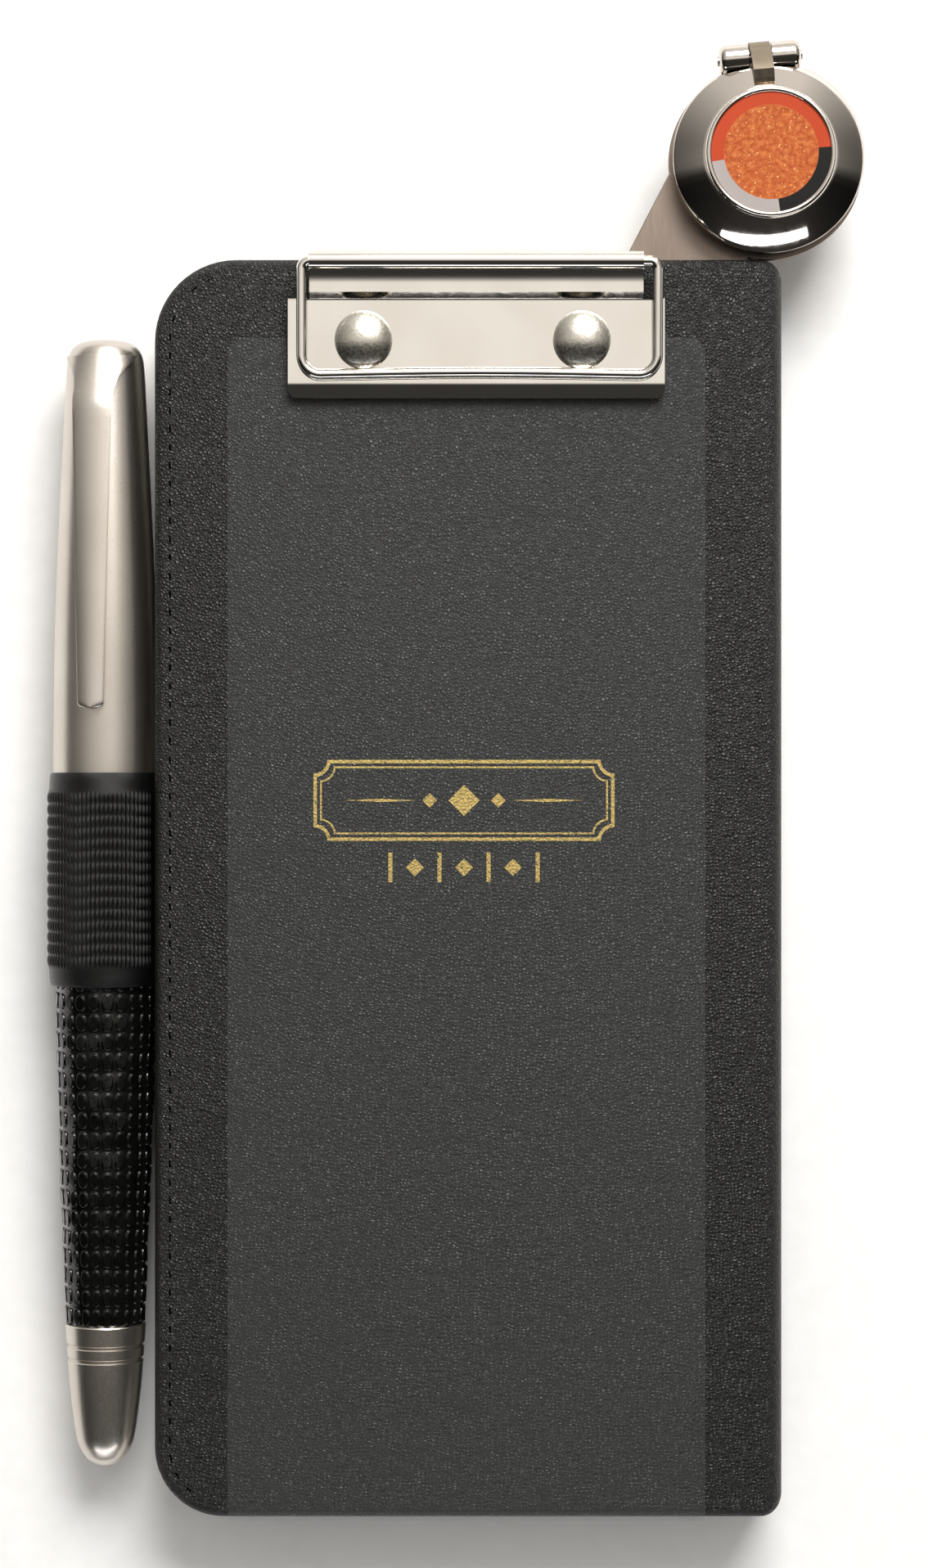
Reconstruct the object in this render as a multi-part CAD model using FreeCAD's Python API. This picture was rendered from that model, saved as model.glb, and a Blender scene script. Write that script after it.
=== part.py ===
"""Pilot logbook: a small leather folio that holds a stapled booklet.

The front cover carries a wire-bail clip over a clear plastic sheet, an elastic loop on the back
cover holds a capped pen, and the flat tongue of a round lidded indicator is tucked inside the
front cover. Sizes are in millimetres. +X runs from the opening edge to the spine, +Y runs up the
page and +Z points out of the front cover. The origin is the centre of the back cover's underside.
"""
import FreeCAD
import Part
import math
import os

V = FreeCAD.Vector
UP = V(0, 0, 1)
TINY = 0.001

# Covers
COVER_W = 77.0
COVER_H = 154.0
BOOK_T = 14.0
LEATHER_T = 0.6
BOARD_T = 1.6
LINING_T = 0.4
TOP_CORNER_R = 10.0
BOTTOM_CORNER_R = 8.5
SPINE_CORNER_R = 2.8
EDGE_R = 1.2
SPINE_GAP = 0.2
SPINE_BOARD_T = 0.6
SPINE_END_INSET = 1.7

# Stitching round the three open edges of each cover
STITCH_INSET = 1.95
STITCH_PITCH = 2.25
THREAD_W = 0.45
THREAD_T = 0.3
GROOVE_W = 0.7

# Booklet and the pocket that holds its card
PAGE_MARGIN = 3.0
PAGE_SIDE_MARGIN = 3.9
FOLD_MARGIN = 0.5
CARD_MARGIN = 0.5
CARD_T = 0.4
POCKET_T = 0.4
PAGE_CORNER_R = 3.0
POCKET_INSET = 1.1
POCKET_HEM = 1.2
POCKET_EDGE_X = -2.0
STAPLE_SHARE = 0.24
STAPLE_W = 12.0
STAPLE_LEG = 2.2
STAPLE_CLINCH = 4.0
STAPLE_R = 0.25

# Pocket inside the front cover, and the indicator tongue in it
TONGUE_POCKET_H = 57.0
TONGUE_POCKET_SIDE = 0.9
TONGUE_POCKET_T = 0.5
TONGUE_POCKET_DEPTH = 2.2
LEAF_CLEARANCE = 0.2
TONGUE_T = 0.9
TONGUE_W = 13.5
TONGUE_TURN = 27.3
TONGUE_OFFSET = 3.25
TONGUE_LENGTH = 45.5
TONGUE_CLEARANCE = 0.1
TONGUE_SIDE_CLEARANCE = 0.4

# Indicator, placed from the cover's top corner at the spine
INDICATOR_IN = 1.9
INDICATOR_OUT = 12.3
HEAD_R = 12.0
BASE_R = 11.2
BASE_WALL = 1.0
BASE_FLOOR = 0.8
LID_R = 11.7
LID_T = 0.8
LID_GAP = 0.15
LID_RIM_H = 0.75
DOME_H = 2.6
SEAT_R = 8.0
DISC_R = 5.75
RING_R = 7.25
DISC_T = 0.5
BEZEL_H = 0.8
ARC_BREAKS = (5.0, 189.5, 278.5, 365.0)
HINGE_TURN = 5.0
HINGE_OUT = 0.55
PIN_R = 0.6
PIN_HALF = 5.2
KNUCKLE_R = 1.85
KNUCKLE_HALF = 5.0
TANG_HALF = 1.25
TANG_R = 1.95
TANG_ARM = 2.65
HINGE_CLEARANCE = 0.15
PIN_CLEARANCE = 0.04

# Clip, placed from its roll at the cover's top edge
CLIP_X = 0.9
PLATE_W = 45.9
ROLL_W = 40.6
SHEET_METAL_T = 0.7
ROLL_IN = 0.75
ROLL_R = 1.2
ROLL_BORE_R = 0.75
ROLL_RISE = 2.0
STEP_DOWN = 4.45
RIVET_DOWN = 9.45
BAR_DOWN = 13.75
BEND_DOWN = 14.65
LIP_DOWN = 16.75
STEP_RUN = 0.9
STEP_RISE = 1.15
PLATE_CORNER_R = 2.0
JAW_LIFT = 0.45
WIRE_R = 0.65
BAIL_X = 1.3
BAIL_W = 43.3
BAIL_CORNER_R = 2.35
BAIL_TOP_R = 1.0
AXLE_IN_ROLL = 6.0
RIVET_X = 0.45
RIVET_SPACING = 26.6
SHANK_R = 2.0
RIVET_HEAD_R = 3.5
RIVET_DOME_H = 1.2
ROCK_GAP = 0.5
JAW_HOLE_R = 2.6
TAIL_R = 2.8
TAIL_T = 0.35
WASHER_R = 3.6
WASHER_T = 0.2
FIT_GAP = 0.05

# Clear sheet, placed from the cover's edges and the rivets
CLEAR_IN_LEFT = 9.0
CLEAR_IN_RIGHT = 9.6
CLEAR_OVER_RIVETS = 0.45
CLEAR_T = 0.5
CLEAR_CORNER_R = 2.0
CLEAR_HOOK = 7.0
CLEAR_HOOK_R = 0.45
SLOT_R = 2.25

# Pen and its loop; the pen's heights are measured from the middle of the cover
PEN_GAP = 0.1
PEN_LIFT = 0.3
PEN_TOP = 67.8
PEN_BOTTOM = -71.8
CAP_MOUTH = -1.7
CAP_R = 6.5
CAP_WALL = 0.9
LINER_T = 0.4
CAP_CAVITY_TOP = 44.0
LINER_TOP = 34.0
WRAP_BOTTOM = -54.1
WRAP_T = 0.7
BORE_SHARE = 0.46
RING_H = 1.3
JOINT_GAP = 0.1
SECTION_GAP = 0.5
SECTION_SUNK = 9.0
GRIP_SHARE = 0.77
GRIP_Y = 25.0
NOSE_Y = 40.0
TIP_Y = 42.5
REFILL_R = 1.5
REFILL_BOTTOM = -48.0
SPRING_BOTTOM = -60.0
SPRING_COIL_R = 1.6
SPRING_WIRE_R = 0.25
SPRING_PITCH = 1.5
LOOP_MID = 1.0
LOOP_W = 26.5
LOOP_T = 0.7
LOOP_GAP = 0.05
LOOP_TAIL = 6.5
CLIP_ROOT_Y = 63.5
CLIP_TIP_Y = 22.1
CLIP_T = 0.9
CLIP_RISE = 1.6
CLIP_ROOT_DEPTH = 0.8
CLIP_ROOT_HALF = 2.0
CLIP_ROOT_L = 2.5

# Turned outlines as (height, share of the cap's radius)
CAP_OUTLINE = [(CAP_MOUTH, 1.0), (15.6, 1.0), (28.8, 0.977), (39.0, 0.931), (49.1, 0.862),
               (59.3, 0.782), (64.4, 0.738), (66.6, 0.63), (67.5, 0.4), (PEN_TOP, 0)]
WRAP_OUTLINE = [(WRAP_BOTTOM, 0.769), (-42.3, 0.838), (-32.2, 0.9), (-22.0, 0.938), (-13.9, 0.969),
                (CAP_MOUTH - RING_H - JOINT_GAP, 0.985)]
END_OUTLINE = [(PEN_BOTTOM, 0), (-71.4, 0.246), (-70.8, 0.369), (-68.7, 0.538), (-66.7, 0.594),
               (-62.6, 0.672), (-58.7, 0.723), (-58.4, 0.692), (-58.1, 0.723), (-57.0, 0.738),
               (-56.7, 0.708), (-56.4, 0.738), (WRAP_BOTTOM, 0.769)]
CROWN_SHARE = 0.782

# Places worked out from the sizes above
LEFT = -COVER_W / 2
RIGHT = COVER_W / 2
HALF_H = COVER_H / 2
COVER_T = LEATHER_T + BOARD_T + LINING_T
HINGE_X = RIGHT - COVER_T
BOARD_Z = LEATHER_T + BOARD_T
FRONT_Z = BOOK_T - COVER_T
FOLD_X = HINGE_X - FOLD_MARGIN
PAGE_LEFT = LEFT + PAGE_SIDE_MARGIN
PAGE_TOP = HALF_H - PAGE_MARGIN
STAPLE_Y = STAPLE_SHARE * COVER_H
LEAVES_Z = COVER_T + CARD_T + POCKET_T
TONGUE_POCKET_Z = FRONT_Z - TONGUE_POCKET_DEPTH
LEAVES_TOP = TONGUE_POCKET_Z - LEAF_CLEARANCE
FOLD_Z = (LEAVES_Z + LEAVES_TOP) / 2
TONGUE_POCKET_Y = HALF_H - TONGUE_POCKET_H
TONGUE_POCKET_RIGHT = HINGE_X - TONGUE_POCKET_SIDE
TONGUE_Z = TONGUE_POCKET_Z + TONGUE_POCKET_T + TONGUE_CLEARANCE
PLATE_TOP = TONGUE_Z + TONGUE_T
CENTRE = V(RIGHT - INDICATOR_IN, HALF_H + INDICATOR_OUT, 0)
HINGE_REACH = LID_R + HINGE_OUT
LID_Z = BOOK_T + LID_GAP
SEAT_Z = LID_Z + LID_RIM_H + DOME_H
ROLL_Y = HALF_H - ROLL_IN
STEP_Y = ROLL_Y - STEP_DOWN
RIVET_Y = ROLL_Y - RIVET_DOWN
BAR_Y = ROLL_Y - BAR_DOWN
BEND_Y = ROLL_Y - BEND_DOWN
LIP_Y = ROLL_Y - LIP_DOWN
CLEAR_LEFT = LEFT + CLEAR_IN_LEFT
CLEAR_RIGHT = RIGHT - CLEAR_IN_RIGHT
CLEAR_TOP = RIVET_Y + CLEAR_OVER_RIVETS
CLEAR_Z = BOOK_T + FIT_GAP
CLEAR_TOP_Z = CLEAR_Z + CLEAR_T
JAW_Z = CLEAR_TOP_Z + JAW_LIFT
HEAD_Z = JAW_Z + SHEET_METAL_T + ROCK_GAP
ROLL_Z = JAW_Z + ROLL_RISE
PEN_X = LEFT - CAP_R - PEN_GAP
PEN_Z = CAP_R + LOOP_T + PEN_LIFT
LOOP_R = CAP_R + LOOP_GAP + LOOP_T
LOOP_BOTTOM = LOOP_MID - LOOP_W / 2
LOOP_TOP = LOOP_MID + LOOP_W / 2
LOOP_TAIL_END = LEFT + LOOP_TAIL
LINER_R = CAP_R - CAP_WALL
SECTION_R = LINER_R - LINER_T - SECTION_GAP
GRIP_R = GRIP_SHARE * SECTION_R
BARREL_BORE_R = BORE_SHARE * CAP_R


# ---------------------------------------------------------------- helpers
def box(x0, x1, y0, y1, z0, z1):
    """Box between two opposite corners."""
    return Part.makeBox(x1 - x0, y1 - y0, z1 - z0, V(x0, y0, z0))


def rod_between(start, end, radius):
    """Straight round rod between two points."""
    return Part.makeCylinder(radius, (end - start).Length, start, end - start)


def disc(centre, radius, z0, z1):
    """Upright cylinder round a plan point."""
    return Part.makeCylinder(radius, z1 - z0, V(centre.x, centre.y, z0))


def fillet_upright(shape, corners):
    """Rounds the upright edges that stand at the given (x, y, radius) corners."""
    for x, y, radius in corners:
        edges = [e for e in shape.Edges
                 if all(math.hypot(v.X - x, v.Y - y) < TINY for v in e.Vertexes)]
        shape = shape.makeFillet(radius, edges)
    return shape


def section_prism(points, x0, x1):
    """Straight bar along X with a polygonal (y, z) section."""
    corners = [V(x0, y, z) for y, z in points]
    face = Part.Face(Part.makePolygon(corners + corners[:1]))
    return face.extrude(V(x1 - x0, 0, 0))


def sheet_strip(edges, thickness, x0, x1):
    """Sheet along X whose (y, z) mid-line is the given chain of edges at x = 0."""
    outline = Part.Wire(edges).makeOffset2D(thickness / 2, 0, False, False)
    strip = Part.Face(outline).extrude(V(x1 - x0, 0, 0))
    strip.translate(V(x0, 0, 0))
    return strip


def line(start, end):
    """Straight edge between two (y, z) points at x = 0."""
    return Part.LineSegment(V(0, *start), V(0, *end)).toShape()


def arc(start, middle, end):
    """Round edge through three (y, z) points at x = 0."""
    return Part.Arc(V(0, *start), V(0, *middle), V(0, *end)).toShape()


def quarter(centre, radius, first, last):
    """Round edge about a (y, z) centre between two angles in degrees."""
    def at(angle):
        turn = math.radians(angle)
        return centre[0] + radius * math.cos(turn), centre[1] + radius * math.sin(turn)
    return arc(at(first), at((first + last) / 2), at(last))


def bent_rod(points, bend_radii, radius):
    """Round rod along straight runs joined by tangent bends, one radius for each corner."""
    edges = []
    start = points[0]
    for before, corner, after, bend in zip(points, points[1:], points[2:], bend_radii):
        run_in = (corner - before).normalize()
        run_out = (after - corner).normalize()
        half_turn = run_in.getAngle(run_out) / 2
        reach = bend * math.tan(half_turn)
        inward = (run_out - run_in).normalize()
        middle = corner + inward * (bend / math.cos(half_turn) - bend)
        edges.append(Part.LineSegment(start, corner - run_in * reach).toShape())
        edges.append(Part.Arc(corner - run_in * reach, middle, corner + run_out * reach).toShape())
        start = corner + run_out * reach
    edges.append(Part.LineSegment(start, points[-1]).toShape())
    profile = Part.Wire(Part.makeCircle(radius, points[0], points[1] - points[0]))
    return Part.Wire(edges).makePipeShell([profile], True, True)


def turned(outline):
    """Solid of revolution about the pen's axis from closed (y, radius) points."""
    corners = [V(PEN_X, y, PEN_Z + radius) for y, radius in outline]
    face = Part.Face(Part.makePolygon(corners + corners[:1]))
    return face.revolve(V(PEN_X, 0, PEN_Z), V(0, 1, 0), 360)


def mirrored(shape):
    """The same shape on the other cover."""
    return shape.mirror(V(0, 0, BOOK_T / 2), UP)


# ---------------------------------------------------------------- covers
def cover_envelope():
    """The closed book's outer form, with its rounded corners and softened edges."""
    block = fillet_upright(box(LEFT, RIGHT, -HALF_H, HALF_H, 0, BOOK_T), [
        (LEFT, HALF_H, TOP_CORNER_R), (LEFT, -HALF_H, BOTTOM_CORNER_R),
        (RIGHT, HALF_H, SPINE_CORNER_R), (RIGHT, -HALF_H, SPINE_CORNER_R)])
    rims = [e for e in block.Edges for z in (0, BOOK_T)
            if all(abs(v.Z - z) < TINY for v in e.Vertexes)]
    return block.makeFillet(EDGE_R, rims)


def cover_prism(inset, right, z0, z1):
    """Prism of the cover's outline set in from its three open edges and cut flat at x = right."""
    left, top, bottom = LEFT + inset, HALF_H - inset, inset - HALF_H
    return fillet_upright(box(left, right, bottom, top, z0, z1), [
        (left, top, TOP_CORNER_R - inset), (left, bottom, BOTTOM_CORNER_R - inset)])


def cover_leather(envelope):
    """Outer leather of the back cover: a tray with a rounded bend towards the spine."""
    tray = box(LEFT, HINGE_X, -HALF_H, HALF_H, 0, COVER_T)
    tray = tray.cut(cover_prism(LEATHER_T, HINGE_X, LEATHER_T, COVER_T))
    low, high = V(HINGE_X, -HALF_H, COVER_T), V(HINGE_X, HALF_H, COVER_T)
    bend = rod_between(low, high, COVER_T).cut(rod_between(low, high, COVER_T - LEATHER_T))
    bend = bend.common(box(HINGE_X, RIGHT, -HALF_H, HALF_H, 0, COVER_T))
    groove_end = HINGE_X - STITCH_INSET
    groove = cover_prism(STITCH_INSET - GROOVE_W / 2, groove_end, 0, THREAD_T)
    groove = groove.cut(cover_prism(STITCH_INSET + GROOVE_W / 2, RIGHT, 0, THREAD_T))
    return tray.fuse(bend).common(envelope).cut(groove)


def stitch_path():
    """Line of the stitches: along the top, down the opening edge and back along the bottom."""
    top, left, bottom = HALF_H - STITCH_INSET, LEFT + STITCH_INSET, STITCH_INSET - HALF_H
    end_x = HINGE_X - 2 * STITCH_INSET
    upper = V(LEFT + TOP_CORNER_R, HALF_H - TOP_CORNER_R, 0)
    lower = V(LEFT + BOTTOM_CORNER_R, BOTTOM_CORNER_R - HALF_H, 0)
    diagonal = math.sqrt(0.5)
    upper_mid = upper + V(-diagonal, diagonal, 0) * (TOP_CORNER_R - STITCH_INSET)
    lower_mid = lower + V(-diagonal, -diagonal, 0) * (BOTTOM_CORNER_R - STITCH_INSET)
    return Part.Wire([
        Part.LineSegment(V(end_x, top, 0), V(upper.x, top, 0)).toShape(),
        Part.Arc(V(upper.x, top, 0), upper_mid, V(left, upper.y, 0)).toShape(),
        Part.LineSegment(V(left, upper.y, 0), V(left, lower.y, 0)).toShape(),
        Part.Arc(V(left, lower.y, 0), lower_mid, V(lower.x, bottom, 0)).toShape(),
        Part.LineSegment(V(lower.x, bottom, 0), V(end_x, bottom, 0)).toShape()])


def cover_thread():
    """Every stitch of the back cover, lying in the groove of its leather."""
    path = stitch_path()
    count = round(path.Length / STITCH_PITCH)
    quarters = path.discretize(Number=4 * count + 1)
    stitches = []
    for index in range(count):
        start, end = quarters[4 * index], quarters[4 * index + 3]
        run = end - start
        stitch = box(0, run.Length, -THREAD_W / 2, THREAD_W / 2, 0, THREAD_T)
        stitch.rotate(V(0, 0, 0), UP, math.degrees(math.atan2(run.y, run.x)))
        stitch.translate(start)
        stitches.append(stitch)
    return Part.makeCompound(stitches)


def spine_strips(envelope):
    """Leather, board and lining of the flat spine strip."""
    z0, z1 = COVER_T + SPINE_GAP, FRONT_Z - SPINE_GAP
    inside = RIGHT - LEATHER_T
    board_in = inside - SPINE_BOARD_T
    lining_in = board_in - LINING_T
    end = HALF_H - SPINE_END_INSET
    leather = box(lining_in, RIGHT, -HALF_H, HALF_H, z0, z1).common(envelope)
    return {
        "spine_leather": leather.cut(box(lining_in, inside, -end, end, z0, z1)),
        "spine_board": box(board_in, inside, -end, end, z0, z1),
        "spine_lining": box(lining_in, board_in, -end, end, z0, z1)}


# ---------------------------------------------------------------- booklet and pockets
def back_pocket():
    """Leather panel sewn inside the back cover on three sides, open towards the spine."""
    panel = cover_prism(POCKET_INSET, POCKET_EDGE_X, COVER_T, LEAVES_Z)
    inset = POCKET_INSET + POCKET_HEM
    return panel.cut(cover_prism(inset, RIGHT, COVER_T, COVER_T + CARD_T))


def back_card():
    """Card cover of the booklet, slid into the pocket, with a glued strip under the fold half."""
    left, top = PAGE_LEFT, PAGE_TOP - CARD_MARGIN
    card = fillet_upright(box(left, FOLD_X, -top, top, COVER_T, COVER_T + CARD_T), [
        (left, top, PAGE_CORNER_R), (left, -top, PAGE_CORNER_R)])
    strip = box(POCKET_EDGE_X + 1, FOLD_X, -top, top, COVER_T + CARD_T, LEAVES_Z)
    return card.fuse(strip)


def leaves(z0, z1):
    """One half of the folded leaves, relieved round the staples."""
    left, top = PAGE_LEFT, PAGE_TOP
    block = fillet_upright(box(left, FOLD_X, -top, top, z0, z1), [
        (left, top, PAGE_CORNER_R), (left, -top, PAGE_CORNER_R)])
    for y in (-STAPLE_Y, STAPLE_Y):
        half = STAPLE_W / 2 + 3 * STAPLE_R
        crown = rod_between(V(FOLD_X, y - half, FOLD_Z), V(FOLD_X, y + half, FOLD_Z), 4 * STAPLE_R)
        legs = box(FOLD_X - STAPLE_LEG - 3 * STAPLE_R, FOLD_X, y - half, y + half,
                   FOLD_Z - 1.4 * STAPLE_R, FOLD_Z + 1.4 * STAPLE_R)
        block = block.cut(crown).cut(legs)
    return block


def staples():
    """Two wire staples through the fold, clinched between the middle leaves."""
    result = []
    inner = FOLD_X - STAPLE_LEG
    for y in (-STAPLE_Y, STAPLE_Y):
        half = STAPLE_W / 2
        points = [V(inner, y - half + STAPLE_CLINCH, FOLD_Z), V(inner, y - half, FOLD_Z),
                  V(FOLD_X, y - half, FOLD_Z), V(FOLD_X, y + half, FOLD_Z),
                  V(inner, y + half, FOLD_Z), V(inner, y + half - STAPLE_CLINCH, FOLD_Z)]
        result.append(bent_rod(points, [2 * STAPLE_R] * 4, STAPLE_R))
    return Part.makeCompound(result)


def tongue_shape(grow, length, z0, z1):
    """The indicator's flat tongue, grown sideways, with its root beside the head's centre."""
    half = TONGUE_W / 2 + grow
    tongue = fillet_upright(box(-half, half, -length, 0, z0, z1), [
        (-half, -length, PAGE_CORNER_R), (half, -length, PAGE_CORNER_R)])
    tongue.rotate(V(0, 0, 0), UP, -TONGUE_TURN)
    turn = math.radians(TONGUE_TURN)
    tongue.translate(CENTRE + V(-math.cos(turn), math.sin(turn), 0) * TONGUE_OFFSET)
    return tongue


def tongue_pocket():
    """Leather panel inside the front cover that holds the tongue, open at the top edge."""
    z0, z1 = TONGUE_POCKET_Z, FRONT_Z
    upper = box(LEFT, RIGHT, TONGUE_POCKET_Y, HALF_H, z0, z1)
    panel = cover_prism(POCKET_INSET, TONGUE_POCKET_RIGHT, z0, z1).common(upper)
    floor = z0 + TONGUE_POCKET_T
    hem = cover_prism(POCKET_INSET + POCKET_HEM, TONGUE_POCKET_RIGHT - POCKET_HEM, floor, z1)
    hollow = hem.common(box(LEFT, RIGHT, TONGUE_POCKET_Y + POCKET_HEM, HALF_H, floor, z1))
    corridor = tongue_shape(TONGUE_SIDE_CLEARANCE, TONGUE_LENGTH, floor, PLATE_TOP + 2 * TONGUE_CLEARANCE)
    return panel.cut(hollow).cut(corridor)


# ---------------------------------------------------------------- indicator
def hinge_point(along, reach, z):
    """Point beside the indicator's hinge: along its pin, out from the centre, and height."""
    turn = math.radians(HINGE_TURN)
    pin_way = V(math.cos(turn), math.sin(turn), 0)
    out_way = V(-math.sin(turn), math.cos(turn), 0)
    return CENTRE + pin_way * along + out_way * reach + UP * z


def hinge_rod(first, last, radius):
    """Round bar on the hinge pin's axis."""
    return rod_between(hinge_point(first, HINGE_REACH, BOOK_T),
                       hinge_point(last, HINGE_REACH, BOOK_T), radius)


def hinge_block(half, near, far, z0, z1):
    """Block square to the hinge pin."""
    block = box(-half, half, near, far, z0, z1)
    block.rotate(V(0, 0, 0), UP, HINGE_TURN)
    block.translate(CENTRE)
    return block


def indicator_plate():
    """Flat steel plate: round head and the tongue that is tucked behind the cover."""
    head = disc(CENTRE, HEAD_R, TONGUE_Z, PLATE_TOP)
    return head.fuse(tongue_shape(0, TONGUE_LENGTH, TONGUE_Z, PLATE_TOP))


def indicator_base():
    """Shallow round case on the plate, with two hinge knuckles."""
    wall_in = BASE_R - BASE_WALL
    bowl = disc(CENTRE, BASE_R, PLATE_TOP, BOOK_T)
    arm = hinge_block(KNUCKLE_HALF, wall_in - BASE_WALL, HINGE_REACH, BOOK_T - KNUCKLE_R, BOOK_T)
    knuckles = hinge_rod(-KNUCKLE_HALF, KNUCKLE_HALF, KNUCKLE_R)
    case = bowl.fuse(arm).fuse(knuckles)
    case = case.cut(disc(CENTRE, wall_in, PLATE_TOP + BASE_FLOOR, BOOK_T + DOME_H))
    gap = TANG_HALF + HINGE_CLEARANCE
    case = case.cut(hinge_rod(-gap, gap, TANG_R + HINGE_CLEARANCE))
    case = case.cut(hinge_block(gap, HINGE_REACH - TANG_R, HINGE_REACH + TANG_R, BOOK_T, BOOK_T + TANG_R))
    return case.cut(hinge_rod(-PIN_HALF, PIN_HALF, PIN_R))


def lid_tang():
    """Centre leaf of the hinge: an eye round the pin with an arm on to the lid."""
    eye = hinge_rod(-TANG_HALF, TANG_HALF, TANG_R)
    near, far = HINGE_REACH - TANG_ARM, HINGE_REACH + TANG_R * 0.4
    arm = section_prism([(near, SEAT_Z - 1.2), (near, SEAT_Z - 0.3), (far, BOOK_T + TANG_R * 0.9),
                         (HINGE_REACH, BOOK_T + PIN_R / 2), (LID_R - LID_T, LID_Z + LID_RIM_H)],
                        -TANG_HALF, TANG_HALF)
    arm.rotate(V(0, 0, 0), UP, HINGE_TURN)
    arm.translate(CENTRE)
    return eye.fuse(arm).cut(hinge_rod(-TANG_HALF, TANG_HALF, PIN_R + PIN_CLEARANCE))


def dome(radius, seat_r, z0, rim_h, rise):
    """Turned lid form: a straight rim, a rounded shoulder and a flat seat."""
    shoulder_z, seat_z = z0 + rim_h, z0 + rim_h + rise
    middle = V(radius - 0.28 * (radius - seat_r), 0, shoulder_z + 0.68 * rise)
    edges = [
        Part.LineSegment(V(0, 0, z0), V(radius, 0, z0)).toShape(),
        Part.LineSegment(V(radius, 0, z0), V(radius, 0, shoulder_z)).toShape(),
        Part.Arc(V(radius, 0, shoulder_z), middle, V(seat_r, 0, seat_z)).toShape(),
        Part.LineSegment(V(seat_r, 0, seat_z), V(0, 0, seat_z)).toShape(),
        Part.LineSegment(V(0, 0, seat_z), V(0, 0, z0)).toShape()]
    solid = Part.Face(Part.Wire(edges)).revolve(V(0, 0, 0), UP, 360)
    solid.translate(CENTRE)
    return solid


def indicator_lid(tang):
    """Domed lid, hollow underneath and relieved round the hinge knuckles."""
    lid = dome(LID_R, SEAT_R, LID_Z, LID_RIM_H, DOME_H)
    lid = lid.cut(dome(LID_R - LID_T, SEAT_R - LID_T, LID_Z, LID_RIM_H, DOME_H - LID_T))
    relief = hinge_rod(-PIN_HALF - HINGE_CLEARANCE, PIN_HALF + HINGE_CLEARANCE, KNUCKLE_R + 2 * HINGE_CLEARANCE)
    return lid.cut(relief).cut(tang)


def ring_piece(inner, outer, first, last, z0, z1):
    """Stretch of a flat ring round the indicator's centre, between two angles."""
    piece = Part.makeCylinder(outer, z1 - z0, V(0, 0, z0), UP, last - first)
    piece = piece.cut(disc(V(0, 0, 0), inner, z0, z1))
    piece.rotate(V(0, 0, 0), UP, first)
    piece.translate(CENTRE)
    return piece


def indicator_face():
    """Sensing disc, its three-part reference ring and the bezel that holds them on the lid."""
    top = SEAT_Z + DISC_T
    bezel = disc(CENTRE, SEAT_R, SEAT_Z, SEAT_Z + BEZEL_H).cut(disc(CENTRE, RING_R, SEAT_Z, SEAT_Z + BEZEL_H))
    orange_end, grey_end, black_end = ARC_BREAKS[1:]
    return {
        "lid_bezel": bezel,
        "indicator_disc": disc(CENTRE, DISC_R, SEAT_Z, top),
        "ring_orange": ring_piece(DISC_R, RING_R, ARC_BREAKS[0], orange_end, SEAT_Z, top),
        "ring_grey": ring_piece(DISC_R, RING_R, orange_end, grey_end, SEAT_Z, top),
        "ring_black": ring_piece(DISC_R, RING_R, grey_end, black_end, SEAT_Z, top)}


# ---------------------------------------------------------------- clip and clear sheet
def rivet_points():
    """Plan points of the two clip rivets."""
    return [V(RIVET_X + side * RIVET_SPACING / 2, RIVET_Y, 0) for side in (-1, 1)]


def clip_plate():
    """Rocking jaw of the clip: flat plate with a down-turned lip, a step and a rolled back edge."""
    mid = JAW_Z + SHEET_METAL_T / 2
    lip = arc((LIP_Y + SHEET_METAL_T / 2, mid - JAW_LIFT + FIT_GAP), (LIP_Y + 1.2, mid - 0.1), (BEND_Y, mid))
    flat = line((BEND_Y, mid), (STEP_Y, mid))
    band_y, band_z = STEP_Y + STEP_RUN, mid + STEP_RISE
    step = line((STEP_Y, mid), (band_y, band_z))
    band = arc((band_y, band_z), (band_y + ROLL_R, band_z + 0.15), (ROLL_Y - ROLL_R + 0.15, ROLL_Z + 0.15))
    half, roll_half = PLATE_W / 2, ROLL_W / 2
    plate = sheet_strip([lip, flat], SHEET_METAL_T, CLIP_X - half, CLIP_X + half)
    outline = fillet_upright(box(CLIP_X - half, CLIP_X + half, LIP_Y, STEP_Y + 0.4, 0, HEAD_Z), [
        (CLIP_X + side * half, LIP_Y, PLATE_CORNER_R) for side in (-1, 1)])
    back = sheet_strip([flat, step, band], SHEET_METAL_T, CLIP_X - roll_half, CLIP_X + roll_half)
    ends = [V(CLIP_X + side * roll_half, ROLL_Y, ROLL_Z) for side in (-1, 1)]
    jaw = plate.common(outline).fuse(back).fuse(rod_between(*ends, ROLL_R)).cut(rod_between(*ends, ROLL_BORE_R))
    for point in rivet_points():
        jaw = jaw.cut(disc(point, JAW_HOLE_R, CLEAR_Z, HEAD_Z))
    return jaw


def clip_bail():
    """Wire bail: its ends turn in the roll and its cross-bar rests on the jaw."""
    bar_z = JAW_Z + SHEET_METAL_T + WIRE_R + FIT_GAP
    side = BAIL_W / 2
    inner = ROLL_W / 2 - AXLE_IN_ROLL
    points = [V(-inner, ROLL_Y, ROLL_Z), V(-side, ROLL_Y, ROLL_Z), V(-side, BAR_Y, bar_z),
              V(side, BAR_Y, bar_z), V(side, ROLL_Y, ROLL_Z), V(inner, ROLL_Y, ROLL_Z)]
    points = [point + V(BAIL_X, 0, 0) for point in points]
    return bent_rod(points, [BAIL_TOP_R, BAIL_CORNER_R, BAIL_CORNER_R, BAIL_TOP_R], WIRE_R)


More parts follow.
